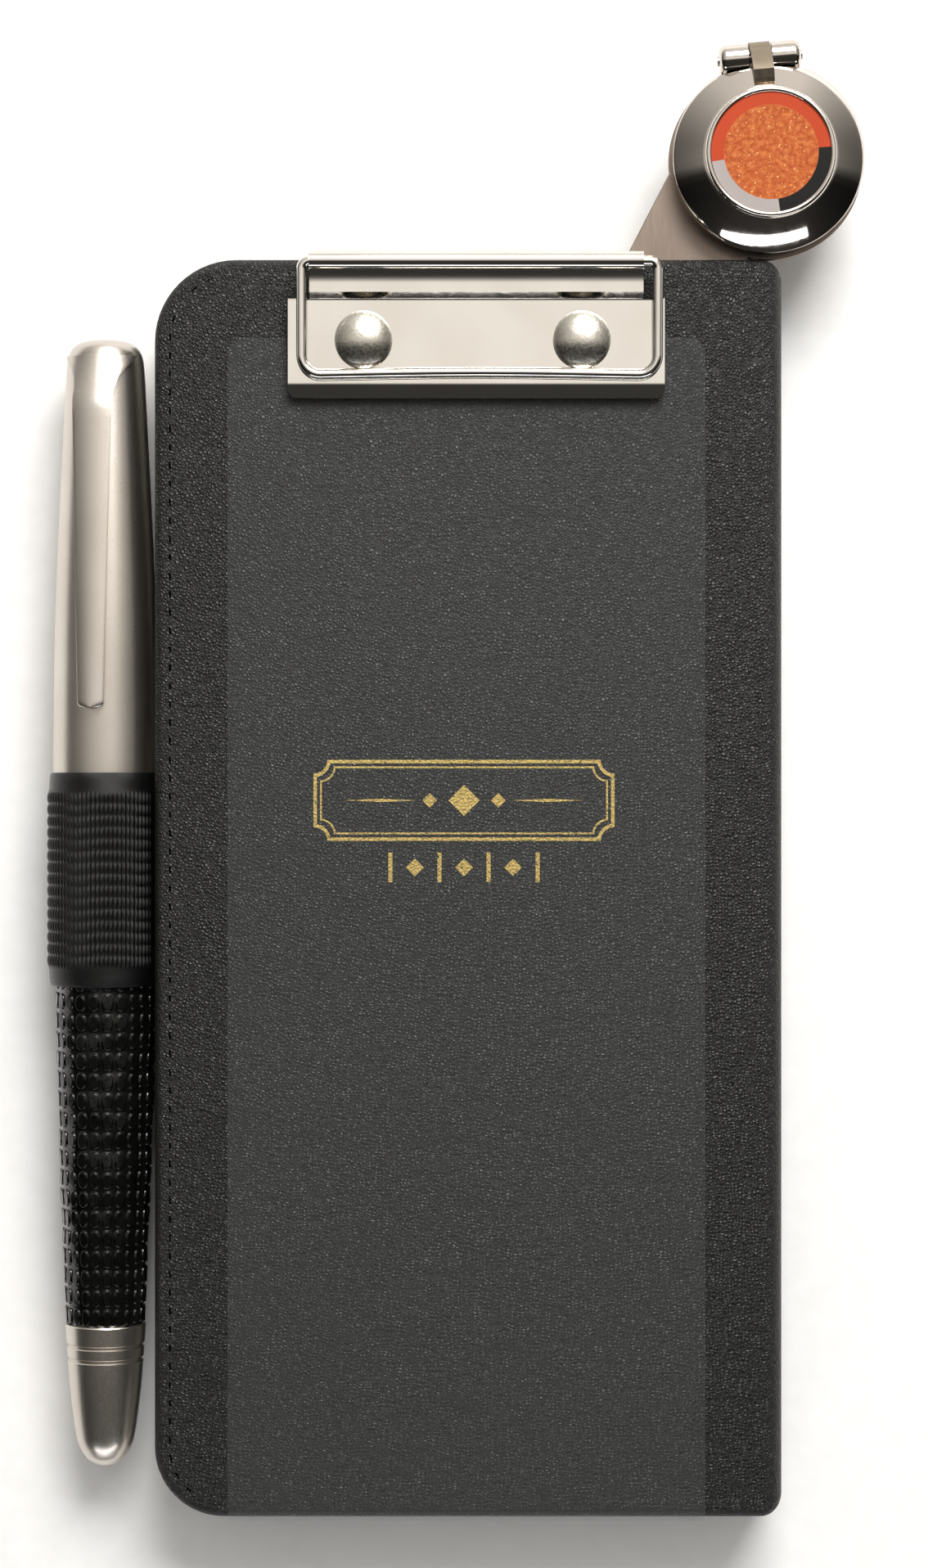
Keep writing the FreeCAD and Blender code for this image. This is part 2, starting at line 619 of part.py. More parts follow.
def clip_rivets():
    """Two domed rivets that hold the clip, each clinched inside the cover."""
    result = []
    tail_z = FRONT_Z - WASHER_T - TAIL_T
    sphere_r = (RIVET_HEAD_R ** 2 + RIVET_DOME_H ** 2) / (2 * RIVET_DOME_H)
    for point in rivet_points():
        ball = Part.makeSphere(sphere_r, point + UP * (HEAD_Z + RIVET_DOME_H - sphere_r))
        head = ball.common(disc(point, sphere_r, HEAD_Z, HEAD_Z + RIVET_DOME_H))
        rivet = disc(point, SHANK_R, tail_z, HEAD_Z).fuse(head)
        result.append(rivet.fuse(disc(point, TAIL_R, tail_z, tail_z + TAIL_T)))
    return Part.makeCompound(result)


def rivet_washers():
    """Thin washers under the rivet tails."""
    z0 = FRONT_Z - WASHER_T
    return Part.makeCompound([
        disc(point, WASHER_R, z0, FRONT_Z).cut(disc(point, SHANK_R + FIT_GAP, z0, FRONT_Z))
        for point in rivet_points()])


def clear_sheet():
    """Clear plastic sheet: flat over the cover, bent round its bottom edge and hooked inside."""
    mid = CLEAR_Z + CLEAR_T / 2
    half = CLEAR_T / 2
    bend_y, bend_z = EDGE_R - HALF_H, BOOK_T - EDGE_R
    bend_r = EDGE_R + FIT_GAP + half
    wall_y = bend_y - bend_r
    hook_z = FRONT_Z + CLEAR_HOOK_R - half - 3 * FIT_GAP
    strip = sheet_strip([
        line((CLEAR_TOP - half, mid), (bend_y, mid)),
        quarter((bend_y, bend_z), bend_r, 90, 180),
        line((wall_y, bend_z), (wall_y, hook_z)),
        quarter((wall_y + CLEAR_HOOK_R, hook_z), CLEAR_HOOK_R, 180, 270),
        line((wall_y + CLEAR_HOOK_R, hook_z - CLEAR_HOOK_R), (wall_y + CLEAR_HOOK, hook_z - CLEAR_HOOK_R))],
        CLEAR_T, CLEAR_LEFT, CLEAR_RIGHT)
    outline = fillet_upright(box(CLEAR_LEFT, CLEAR_RIGHT, -COVER_H, CLEAR_TOP, 0, BOOK_T + 1), [
        (x, CLEAR_TOP, CLEAR_CORNER_R) for x in (CLEAR_LEFT, CLEAR_RIGHT)])
    sheet = strip.common(outline)
    for point in rivet_points():
        slot = disc(point, SLOT_R, CLEAR_Z - 1, CLEAR_Z + 1)
        mouth = box(point.x - SLOT_R, point.x + SLOT_R, RIVET_Y, CLEAR_TOP + 1, CLEAR_Z - 1, CLEAR_Z + 1)
        sheet = sheet.cut(slot).cut(mouth)
    return sheet


# ---------------------------------------------------------------- pen
def outline(shares):
    """Turned outline in millimetres from heights and shares of the cap's radius."""
    return [(y, share * CAP_R) for y, share in shares]


def pen_cap():
    """Metal cap: rounded crown and a stepped cavity for the liner and the pen's nose."""
    nose_r = LINER_R - 3 * LINER_T
    cap = turned(outline(CAP_OUTLINE) + [(CAP_CAVITY_TOP, 0), (CAP_CAVITY_TOP, nose_r), (LINER_TOP, nose_r),
                                         (LINER_TOP, LINER_R), (CAP_MOUTH, LINER_R)])
    half = CLIP_ROOT_HALF + HINGE_CLEARANCE
    socket = box(PEN_X - half, PEN_X + half, CLIP_ROOT_Y - CLIP_ROOT_L - HINGE_CLEARANCE,
                 CLIP_ROOT_Y + HINGE_CLEARANCE, root_floor() - HINGE_CLEARANCE, PEN_Z + CAP_R)
    return cap.cut(socket)


def root_floor():
    """Height of the bottom of the pen clip's root, sunk into the cap."""
    return PEN_Z + CROWN_SHARE * CAP_R - CLIP_ROOT_DEPTH - HINGE_CLEARANCE


def cap_liner():
    """Plastic liner that grips the barrel inside the cap."""
    inner = LINER_R - LINER_T
    return turned([(CAP_MOUTH, inner), (CAP_MOUTH, LINER_R), (LINER_TOP, LINER_R), (LINER_TOP, inner)])


def pen_clip():
    """Pocket clip: a tapering bar over the cap, on a short root sunk into the crown."""
    root_z = PEN_Z + CROWN_SHARE * CAP_R + 2 * HINGE_CLEARANCE
    tip_z = root_z + CLIP_RISE
    bar = section_prism([(CLIP_ROOT_Y + 0.5, root_z), (CLIP_ROOT_Y + 0.5, root_z + CLIP_T / 2),
                         (CLIP_ROOT_Y - 1, root_z + CLIP_T), (CLIP_TIP_Y, tip_z + CLIP_T), (CLIP_TIP_Y, tip_z)],
                        PEN_X - CAP_R, PEN_X + CAP_R)
    half_widths = [(CLIP_ROOT_Y + 0.5, 4.2), (CLIP_ROOT_Y - 3, 2.6), (CLIP_TIP_Y, 1.5)]
    right = [V(PEN_X + half, y, 0) for y, half in half_widths]
    left = [V(PEN_X - half, y, 0) for y, half in reversed(half_widths)]
    plan = Part.Face(Part.makePolygon(right + left + right[:1])).extrude(UP * 3 * BOOK_T)
    root = box(PEN_X - CLIP_ROOT_HALF, PEN_X + CLIP_ROOT_HALF, CLIP_ROOT_Y - CLIP_ROOT_L, CLIP_ROOT_Y,
               root_floor(), root_z + CLIP_T / 2)
    return bar.common(plan).fuse(root)


def pen_barrel_parts():
    """Barrel core, leather wrap, mouth ring, end cone, grip section, refill and its spring."""
    wrap_out = outline(WRAP_OUTLINE)
    core = [(y, radius - WRAP_T) for y, radius in wrap_out]
    core_top = core[-1][0]
    seat_y = CAP_MOUTH - SECTION_SUNK
    barrel = core + [(core_top, SECTION_R), (seat_y, SECTION_R), (seat_y, BARREL_BORE_R),
                     (WRAP_BOTTOM, BARREL_BORE_R)]
    ring_y0, ring_y1 = core_top, CAP_MOUTH - JOINT_GAP
    spring_r = SPRING_COIL_R + 2 * SPRING_WIRE_R
    cone = outline(END_OUTLINE) + [(WRAP_BOTTOM, spring_r), (SPRING_BOTTOM, spring_r), (SPRING_BOTTOM, 0)]
    section = [(seat_y, SECTION_R), (ring_y1, SECTION_R), (GRIP_Y, GRIP_R), (NOSE_Y, REFILL_R * 1.4),
               (NOSE_Y, REFILL_R), (seat_y, REFILL_R)]
    refill = [(REFILL_BOTTOM, 0), (REFILL_BOTTOM, REFILL_R - FIT_GAP), (NOSE_Y, REFILL_R - FIT_GAP),
              (TIP_Y, REFILL_R / 4), (TIP_Y, 0)]
    return {
        "pen_barrel": turned(barrel),
        "barrel_wrap": turned(wrap_out + core[::-1]),
        "barrel_ring": turned([(ring_y0, SECTION_R), (ring_y0, CAP_R - JOINT_GAP),
                               (ring_y1, CAP_R - JOINT_GAP), (ring_y1, SECTION_R)]),
        "barrel_end": turned(cone),
        "pen_section": turned(section),
        "pen_refill": turned(refill),
        "refill_spring": refill_spring()}


def refill_spring():
    """Compression spring between the end cone and the refill."""
    height = REFILL_BOTTOM - SPRING_BOTTOM - 2 * SPRING_WIRE_R
    coil = Part.makeHelix(SPRING_PITCH, height, SPRING_COIL_R)
    profile = Part.Wire(Part.makeCircle(SPRING_WIRE_R, V(SPRING_COIL_R, 0, 0), V(0, 1, 0)))
    spring = Part.Wire(coil).makePipeShell([profile], True, True)
    spring.rotate(V(0, 0, 0), V(1, 0, 0), -90)
    spring.translate(V(PEN_X, SPRING_BOTTOM + SPRING_WIRE_R, PEN_Z))
    return spring


def loop_tail(grow):
    """The doubled end of the elastic, sewn between the back cover's leather and board."""
    mid = LEATHER_T + BOARD_T / 2
    return box(PEN_X + LOOP_R / 3, LOOP_TAIL_END + grow, LOOP_BOTTOM - grow, LOOP_TOP + grow,
               mid - LOOP_T - grow, mid + LOOP_T + grow)


def pen_loop():
    """Elastic pen loop: a round band with its doubled end sewn into the back cover."""
    low, high = V(PEN_X, LOOP_BOTTOM, PEN_Z), V(PEN_X, LOOP_TOP, PEN_Z)
    band = rod_between(low, high, LOOP_R).fuse(loop_tail(0))
    return band.cut(rod_between(low, high, CAP_R + LOOP_GAP))


# ---------------------------------------------------------------- all nodes
def build_nodes():
    """Every sub-part by node name."""
    envelope = cover_envelope()
    leather = cover_leather(envelope)
    board = cover_prism(LEATHER_T, HINGE_X, LEATHER_T, BOARD_Z)
    lining = cover_prism(LEATHER_T, HINGE_X, BOARD_Z, COVER_T)
    tail = loop_tail(FIT_GAP)
    tang = lid_tang()
    nodes = {
        "back_leather": leather.cut(tail), "back_board": board.cut(tail), "back_lining": lining,
        "back_thread": cover_thread(),
        "front_leather": mirrored(leather), "front_board": mirrored(board), "front_lining": mirrored(lining),
        "front_thread": mirrored(cover_thread()),
        "back_pocket": back_pocket(), "back_card": back_card(),
        "rear_leaves": leaves(LEAVES_Z, FOLD_Z), "front_leaves": leaves(FOLD_Z, LEAVES_TOP),
        "staples": staples(), "tongue_pocket": tongue_pocket(),
        "indicator_plate": indicator_plate(), "indicator_base": indicator_base(),
        "hinge_pin": hinge_rod(-PIN_HALF, PIN_HALF, PIN_R),
        "lid_tang": tang, "indicator_lid": indicator_lid(tang),
        "clip_plate": clip_plate(), "clip_bail": clip_bail(),
        "clip_rivets": clip_rivets(), "rivet_washers": rivet_washers(), "clear_sheet": clear_sheet(),
        "pen_cap": pen_cap(), "cap_liner": cap_liner(), "pen_clip": pen_clip(), "pen_loop": pen_loop()}
    nodes.update(spine_strips(envelope))
    nodes.update(indicator_face())
    nodes.update(pen_barrel_parts())
    for name in ("front_leather", "front_board", "front_lining"):
        for point in rivet_points():
            nodes[name] = nodes[name].cut(disc(point, SHANK_R + FIT_GAP, FRONT_Z, BOOK_T))
    return nodes


os.makedirs("parts", exist_ok=True)
for node, shape in sorted(build_nodes().items()):
    shape.exportStep("parts/" + node + ".step")
    print(node, "valid", shape.isValid(), "solids", len(shape.Solids), "volume", round(shape.Volume, 2))
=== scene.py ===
import logging
import math
import random
from contextlib import contextmanager
from dataclasses import dataclass, field
from enum import Enum
from typing import Callable, Iterator, Sequence

import bmesh
import bpy
from mathutils import Matrix, Vector


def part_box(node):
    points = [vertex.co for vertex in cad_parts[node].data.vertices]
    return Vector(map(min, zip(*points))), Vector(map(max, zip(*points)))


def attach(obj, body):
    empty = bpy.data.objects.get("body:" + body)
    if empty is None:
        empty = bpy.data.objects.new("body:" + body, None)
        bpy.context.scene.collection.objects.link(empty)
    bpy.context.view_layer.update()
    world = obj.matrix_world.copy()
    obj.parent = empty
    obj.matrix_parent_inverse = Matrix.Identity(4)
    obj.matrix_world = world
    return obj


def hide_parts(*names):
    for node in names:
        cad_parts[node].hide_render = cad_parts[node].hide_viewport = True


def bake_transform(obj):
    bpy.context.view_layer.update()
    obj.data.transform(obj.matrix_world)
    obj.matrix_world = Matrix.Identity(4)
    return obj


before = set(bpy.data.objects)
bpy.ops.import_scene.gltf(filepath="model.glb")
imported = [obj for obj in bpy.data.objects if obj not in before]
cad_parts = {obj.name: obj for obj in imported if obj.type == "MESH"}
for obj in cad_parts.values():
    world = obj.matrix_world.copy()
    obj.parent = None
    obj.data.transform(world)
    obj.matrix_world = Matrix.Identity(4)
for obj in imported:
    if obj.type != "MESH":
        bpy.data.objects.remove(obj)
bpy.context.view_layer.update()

log = logging.getLogger("folio")
MM = 0.001
HAIR = 0.00001
MERGE = 0.000002
FULL_TURN = 2 * math.pi
X, Y, Z = Vector((1, 0, 0)), Vector((0, 1, 0)), Vector((0, 0, 1))

Object = bpy.types.Object
Material = bpy.types.Material
Socket = bpy.types.NodeSocket
Colour = tuple[float, float, float]
Test = Callable[[Vector, Vector], bool]
Chain = list[Vector]


# ---------------------------------------------------------------- bench: mesh work
class Element(Enum):
    """What a selection in edit mode picks."""

    VERT = "VERT"
    EDGE = "EDGE"
    FACE = "FACE"


def near(a: float, b: float, slack: float = HAIR) -> bool:
    """True where two lengths are the same within a hair."""
    return abs(a - b) < slack


def take_up(piece: Object) -> None:
    """Makes one object the only selected and the active one.

    Args:
        piece: the object to work on.
    """
    bpy.ops.object.select_all(action="DESELECT")
    piece.select_set(True)
    bpy.context.view_layer.objects.active = piece


@contextmanager
def editing(piece: Object) -> Iterator[None]:
    """Opens a piece in edit mode with nothing selected, and closes it again.

    Args:
        piece: the object to open.

    Yields:
        Nothing, while the piece is open.
    """
    take_up(piece)
    bpy.ops.object.mode_set(mode="EDIT")
    bpy.ops.mesh.select_all(action="DESELECT")
    yield
    bpy.ops.object.mode_set(mode="OBJECT")


def pick(kind: Element, test: Test) -> None:
    """Selects the parts of the mesh in edit mode that pass a test.

    Args:
        kind: vertices, edges or faces.
        test: takes a part's centre and its normal, or an edge's direction.
    """
    bpy.ops.mesh.select_mode(type=kind.value)
    bpy.ops.mesh.select_all(action="DESELECT")
    mesh = bpy.context.object.data
    form = bmesh.from_edit_mesh(mesh)
    form.normal_update()
    if kind is Element.VERT:
        found = [(v, v.co, v.normal) for v in form.verts]
    elif kind is Element.EDGE:
        found = [(e, (e.verts[0].co + e.verts[1].co) / 2, (e.verts[1].co - e.verts[0].co).normalized())
                 for e in form.edges]
    else:
        found = [(f, f.calc_center_median(), f.normal) for f in form.faces]
    for part, centre, way in found:
        if test(centre, way):
            part.select_set(True)
    form.select_flush_mode()
    bmesh.update_edit_mesh(mesh)


def take_all() -> None:
    """Selects the whole mesh in edit mode."""
    bpy.ops.mesh.select_all(action="SELECT")


def slice_at(place: Sequence[float], way: Vector) -> None:
    """Cuts the whole mesh in edit mode along a plane and keeps both sides."""
    take_all()
    bpy.ops.mesh.bisect(plane_co=place, plane_no=way)


def bevel(offset: float, segments: int) -> None:
    """Rounds the selected edges."""
    bpy.ops.mesh.bevel(offset=offset, segments=segments, affect="EDGES", offset_type="OFFSET")


def extrude(value: Vector) -> None:
    """Extrudes what is selected by a step."""
    bpy.ops.mesh.extrude_region_move(TRANSFORM_OT_translate={"value": value})


def true_normals() -> None:
    """Merges doubles and turns all the faces of a closed form outwards."""
    bpy.ops.mesh.select_mode(type="VERT")
    take_all()
    bpy.ops.mesh.remove_doubles(threshold=MERGE)
    bpy.ops.mesh.normals_make_consistent(inside=False)


def settle(name: str) -> Object:
    """Names the active object and puts its place and scale into its mesh.

    Args:
        name: the piece's name.

    Returns:
        The settled object.
    """
    piece = bpy.context.object
    piece.name = name
    piece.data.name = name
    take_up(piece)
    bpy.ops.object.transform_apply(location=True, rotation=True, scale=True)
    return piece


def block(name: str, low: Sequence[float], high: Sequence[float]) -> Object:
    """Adds a cube stretched between two corners.

    Args:
        name: the piece's name.
        low: lowest corner.
        high: highest corner.

    Returns:
        The new object.
    """
    low, high = Vector(low), Vector(high)
    bpy.ops.mesh.primitive_cube_add(size=1, location=(low + high) / 2)
    bpy.context.object.scale = high - low
    return settle(name)


def rod_blank(name: str, start: Vector, end: Vector, radius: float, sides: int = 48) -> Object:
    """Adds a plain cylinder between two points, as a blank or a cutter.

    Args:
        name: the piece's name.
        start: centre of one end.
        end: centre of the other end.
        radius: its radius.
        sides: how many flats it has.

    Returns:
        The new object.
    """
    way = end - start
    turn = way.to_track_quat("Z", "Y").to_euler()
    bpy.ops.mesh.primitive_cylinder_add(vertices=sides, radius=radius, depth=way.length,
                                        location=(start + end) / 2, rotation=turn)
    return settle(name)


def trace(name: str, points: Chain, closed: bool = False) -> Object:
    """Draws a chain of edges by extruding one vertex from point to point.

    Args:
        name: the piece's name.
        points: the chain's points.
        closed: joins the last point to the first.

    Returns:
        The new object.
    """
    bpy.ops.mesh.primitive_plane_add(size=MM, location=points[0])
    piece = settle(name)
    with editing(piece):
        bpy.ops.mesh.select_mode(type="VERT")
        take_all()
        bpy.ops.mesh.merge(type="CENTER")
        for start, end in zip(points, points[1:]):
            extrude(end - start)
        if closed:
            pick(Element.VERT, lambda p, n: (p - points[0]).length < MERGE or (p - points[-1]).length < MERGE)
            bpy.ops.mesh.edge_face_add()
    return piece


def prism(name: str, outline: Chain, step: Vector) -> Object:
    """Fills a closed outline and extrudes it.

    Args:
        name: the piece's name.
        outline: corner points in order.
        step: the way and length of the extrusion.

    Returns:
        The new closed object.
    """
    piece = trace(name, outline, closed=True)
    with editing(piece):
        take_all()
        bpy.ops.mesh.edge_face_add()
        take_all()
        extrude(step)
        true_normals()
    return piece


def lathe(name: str, profile: Chain, centre: Vector, axis: Vector, steps: int,
          closed: bool = False) -> Object:
    """Spins a profile about an axis into a closed form.

    Args:
        name: the piece's name.
        profile: the outline's points, from axis to axis or all round.
        centre: a point on the axis.
        axis: the axis's direction.
        steps: how many faces go round.
        closed: whether the profile is a closed loop.

    Returns:
        The new object.
    """
    piece = trace(name, profile, closed)
    with editing(piece):
        bpy.ops.mesh.select_mode(type="VERT")
        take_all()
        bpy.ops.mesh.spin(steps=steps, angle=FULL_TURN, use_auto_merge=True, center=centre, axis=axis)
        true_normals()
    return piece


def wire(name: str, points: Chain, radius: float, sides: int = 5) -> Object:
    """Makes a round wire along a chain of points.

    Args:
        name: the piece's name.
        points: the wire's centreline.
        radius: the wire's radius.
        sides: roundness of its section.

    Returns:
        The new mesh object.
    """
    line = bpy.data.curves.new(name, "CURVE")
    line.dimensions = "3D"
    line.bevel_depth = radius
    line.bevel_resolution = sides
    line.use_fill_caps = True
    run = line.splines.new("POLY")
    run.points.add(len(points) - 1)
    for place, point in zip(run.points, points):
        place.co = (*point, 1)
    piece = bpy.data.objects.new(name, line)
    bpy.context.scene.collection.objects.link(piece)
    take_up(piece)
    bpy.ops.object.convert(target="MESH")
    piece = bpy.context.object
    piece.name = name
    with editing(piece):
        true_normals()
    return piece


def work(piece: Object, kind: str, **settings: object) -> Object:
    """Adds one modifier and applies it.

    Args:
        piece: the object to change.
        kind: the modifier's type.
        settings: its values by name.

    Returns:
        The same object.
    """
    take_up(piece)
    modifier = piece.modifiers.new(kind.title(), kind)
    for key, value in settings.items():
        setattr(modifier, key, value)
    bpy.ops.object.modifier_apply(modifier=modifier.name)
    return piece


def smoothed(piece: Object, degrees: float = 35.0) -> Object:
    """Shades a piece smooth, with sharp edges past an angle.

    Args:
        piece: the object to shade.
        degrees: the angle past which an edge stays sharp.

    Returns:
        The same object.
    """
    take_up(piece)
    bpy.ops.object.shade_smooth_by_angle(angle=math.radians(degrees))
    return piece


def edged(piece: Object, width: float, segments: int = 2, degrees: float = 35.0) -> Object:
    """Rounds every sharp edge of a piece by a small width and shades it smooth.

    Args:
        piece: the object to round.
        width: how wide each rounding is.
        segments: how many strips each has.
        degrees: the angle past which an edge is rounded.

    Returns:
        The same object.
    """
    work(piece, "BEVEL", width=width, segments=segments, limit_method="ANGLE",
         angle_limit=math.radians(degrees), use_clamp_overlap=True)
    return evened(smoothed(piece, degrees))


def evened(piece: Object) -> Object:
    """Keeps the large faces of a smooth piece flat."""
    return work(piece, "WEIGHTED_NORMAL", keep_sharp=True, weight=100)


def subdivided(piece: Object, levels: int) -> Object:
    """Rounds a piece by subdivision and shades it smooth.

    Args:
        piece: the object to round.
        levels: how many times its faces are split.

    Returns:
        The same object.
    """
    work(piece, "SUBSURF", levels=levels, render_levels=levels)
    return smoothed(piece, 60.0)


def cut_by(piece: Object, *cutters: Object) -> Object:
    """Takes each cutter's form out of a piece and removes the cutter.

    Args:
        piece: the object to cut.
        cutters: the forms taken out of it.

    Returns:
        The same object.
    """
    for cutter in cutters:
        work(piece, "BOOLEAN", operation="DIFFERENCE", object=cutter, solver="EXACT")
        bpy.data.objects.remove(cutter)
    return piece


def join(name: str, pieces: list[Object]) -> Object:
    """Joins several objects into one mesh.

    Args:
        name: the joined piece's name.
        pieces: what is joined, the first one kept.

    Returns:
        The joined object.
    """
    bpy.ops.object.select_all(action="DESELECT")
    for piece in pieces:
        piece.select_set(True)
    bpy.context.view_layer.objects.active = pieces[0]
    if len(pieces) > 1:
        bpy.ops.object.join()
    joined = bpy.context.object
    joined.name = name
    joined.data.name = name
    return joined


def copied(piece: Object, name: str, change: Matrix) -> Object:
    """Copies a piece with its own mesh, changed by a matrix.

    Args:
        piece: what is copied.
        name: the copy's name.
        change: where the copy goes. A mirror image gets its faces turned back.

    Returns:
        The copy.
    """
    other = piece.copy()
    other.data = piece.data.copy()
    other.name = name
    bpy.context.scene.collection.objects.link(other)
    other.data.transform(change)
    if change.determinant() < 0:
        other.data.flip_normals()
    return other


def repeated(name: str, master: Object, places: list[Matrix]) -> Object:
    """Puts a copy of one master at each place and joins them.

    Args:
        name: the joined piece's name.
        master: modelled at the origin, and removed at the end.
        places: one matrix for each copy.

    Returns:
        The joined object.
    """
    copies = [copied(master, name, place) for place in places]
    bpy.data.objects.remove(master)
    return join(name, copies)


def from_node(node: str, name: str) -> Object:
    """A merged copy of a CAD node's mesh, ready for softer edges.

    Args:
        node: the CAD node's name.
        name: the copy's name.

    Returns:
        The copy, free of the frame.
    """
    piece = copied(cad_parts[node], name, Matrix.Identity(4))
    for key in [k for k in piece.keys() if k.startswith("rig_")]:
        del piece[key]
    piece.parent = None
    piece.data.materials.clear()
    with editing(piece):
        take_all()
        bpy.ops.mesh.remove_doubles(threshold=MERGE)
        bpy.ops.mesh.customdata_custom_splitnormals_clear()
        bpy.ops.mesh.dissolve_limited(angle_limit=math.radians(0.5))
    return piece


def reshape(piece: Object, move: Callable[[Vector], Vector]) -> Object:
    """Moves every vertex of a piece to the place that a formula gives it.

    Args:
        piece: the object to change.
        move: gives the new place of a point.

    Returns:
        The same object.
    """
    for vertex in piece.data.vertices:
        vertex.co = move(vertex.co)
    piece.data.update()
    return piece


# ---------------------------------------------------------------- bench: outlines
def arc_points(centre: Vector, radius: float, first: float, last: float, steps: int,
               across: Vector = X, up: Vector = Y) -> Chain:
    """Points on an arc between two angles in degrees.

    Args:
        centre: the arc's centre.
        radius: its radius.
        first: start angle, from across towards up.
        last: end angle.
        steps: how many pieces it has.
        across: direction of angle 0.
        up: direction of angle 90.

    Returns:
        The points, both ends included.
    """
    turns = [math.radians(first + (last - first) * k / steps) for k in range(steps + 1)]
    return [centre + across * radius * math.cos(t) + up * radius * math.sin(t) for t in turns]


def rounded(points: Chain, radii: Sequence[float], steps: int = 8) -> Chain:
    """Replaces each inner corner of a chain by a tangent arc.

    Args:
        points: the chain's corners.
        radii: one radius for each inner corner.
        steps: how many pieces each arc has.

    Returns:
        The points of the rounded chain.
    """
    result = [points[0]]
    for before, corner, after, radius in zip(points, points[1:], points[2:], radii):
        run_in, run_out = (corner - before).normalized(), (after - corner).normalized()
        turn = run_in.angle(run_out)
        reach = radius * math.tan(turn / 2)
        start = corner - run_in * reach
        inward = (run_out - run_in).normalized()
        centre = corner + inward * radius / math.cos(turn / 2)
        axis = run_in.cross(run_out)
        result += [centre + Matrix.Rotation(turn * k / steps, 3, axis) @ (start - centre)
                   for k in range(steps + 1)]
    return result + [points[-1]]


def flowing(points: Sequence[tuple[float, float]], steps: int) -> list[tuple[float, float]]:
    """A smooth line through a few outline points.

    Args:
        points: pairs of numbers in order.
        steps: how many pieces each stretch gets.

    Returns:
        The pairs on the smooth line, through every given point.
    """
    ends = [points[0], *points, points[-1]]
    result = []
    for a, b, c, d in zip(ends, ends[1:], ends[2:], ends[3:]):
        for k in range(steps):
            t = k / steps
            result.append(tuple(0.5 * (2 * q + (r - p) * t + (2 * p - 5 * q + 4 * r - s) * t ** 2
                                       + (3 * q - p - 3 * r + s) * t ** 3) for p, q, r, s in zip(a, b, c, d)))
    return result + [points[-1]]


def stations(points: Chain, count: int, share: float = 0.0) -> list[tuple[Vector, Vector]]:
    """Evenly spaced places along a chain.

    Args:
        points: the chain.
        count: how many places.
        share: how far into its own stretch each place lies, from 0 to 1.

    Returns:
        Each place with the chain's direction there.
    """
    lengths = [(b - a).length for a, b in zip(points, points[1:])]
    pitch = sum(lengths) / count
    result = []
    index, passed = 0, 0.0
    for k in range(count):
        wanted = (k + share) * pitch
        while index < len(lengths) - 1 and passed + lengths[index] < wanted:
            passed += lengths[index]
            index += 1
        way = (points[index + 1] - points[index]).normalized()
        result.append((points[index] + way * (wanted - passed), way))
    return result


def notched(centre: Vector, half_w: float, half_h: float, notch: float) -> Chain:
    """Outline of a rectangle with a round notch at each corner.

    Args:
        centre: its middle.
        half_w: half its width.
        half_h: half its height.
        notch: radius of each notch.

    Returns:
        The outline's points.
    """
    corners = [(1, 1, 270, 180), (-1, 1, 0, -90), (-1, -1, 90, 0), (1, -1, 180, 90)]
    result = []
    for side, level, first, last in corners:
        corner = centre + Vector((side * half_w, level * half_h, 0))
        result += arc_points(corner, notch, first, last, 6)
    return result


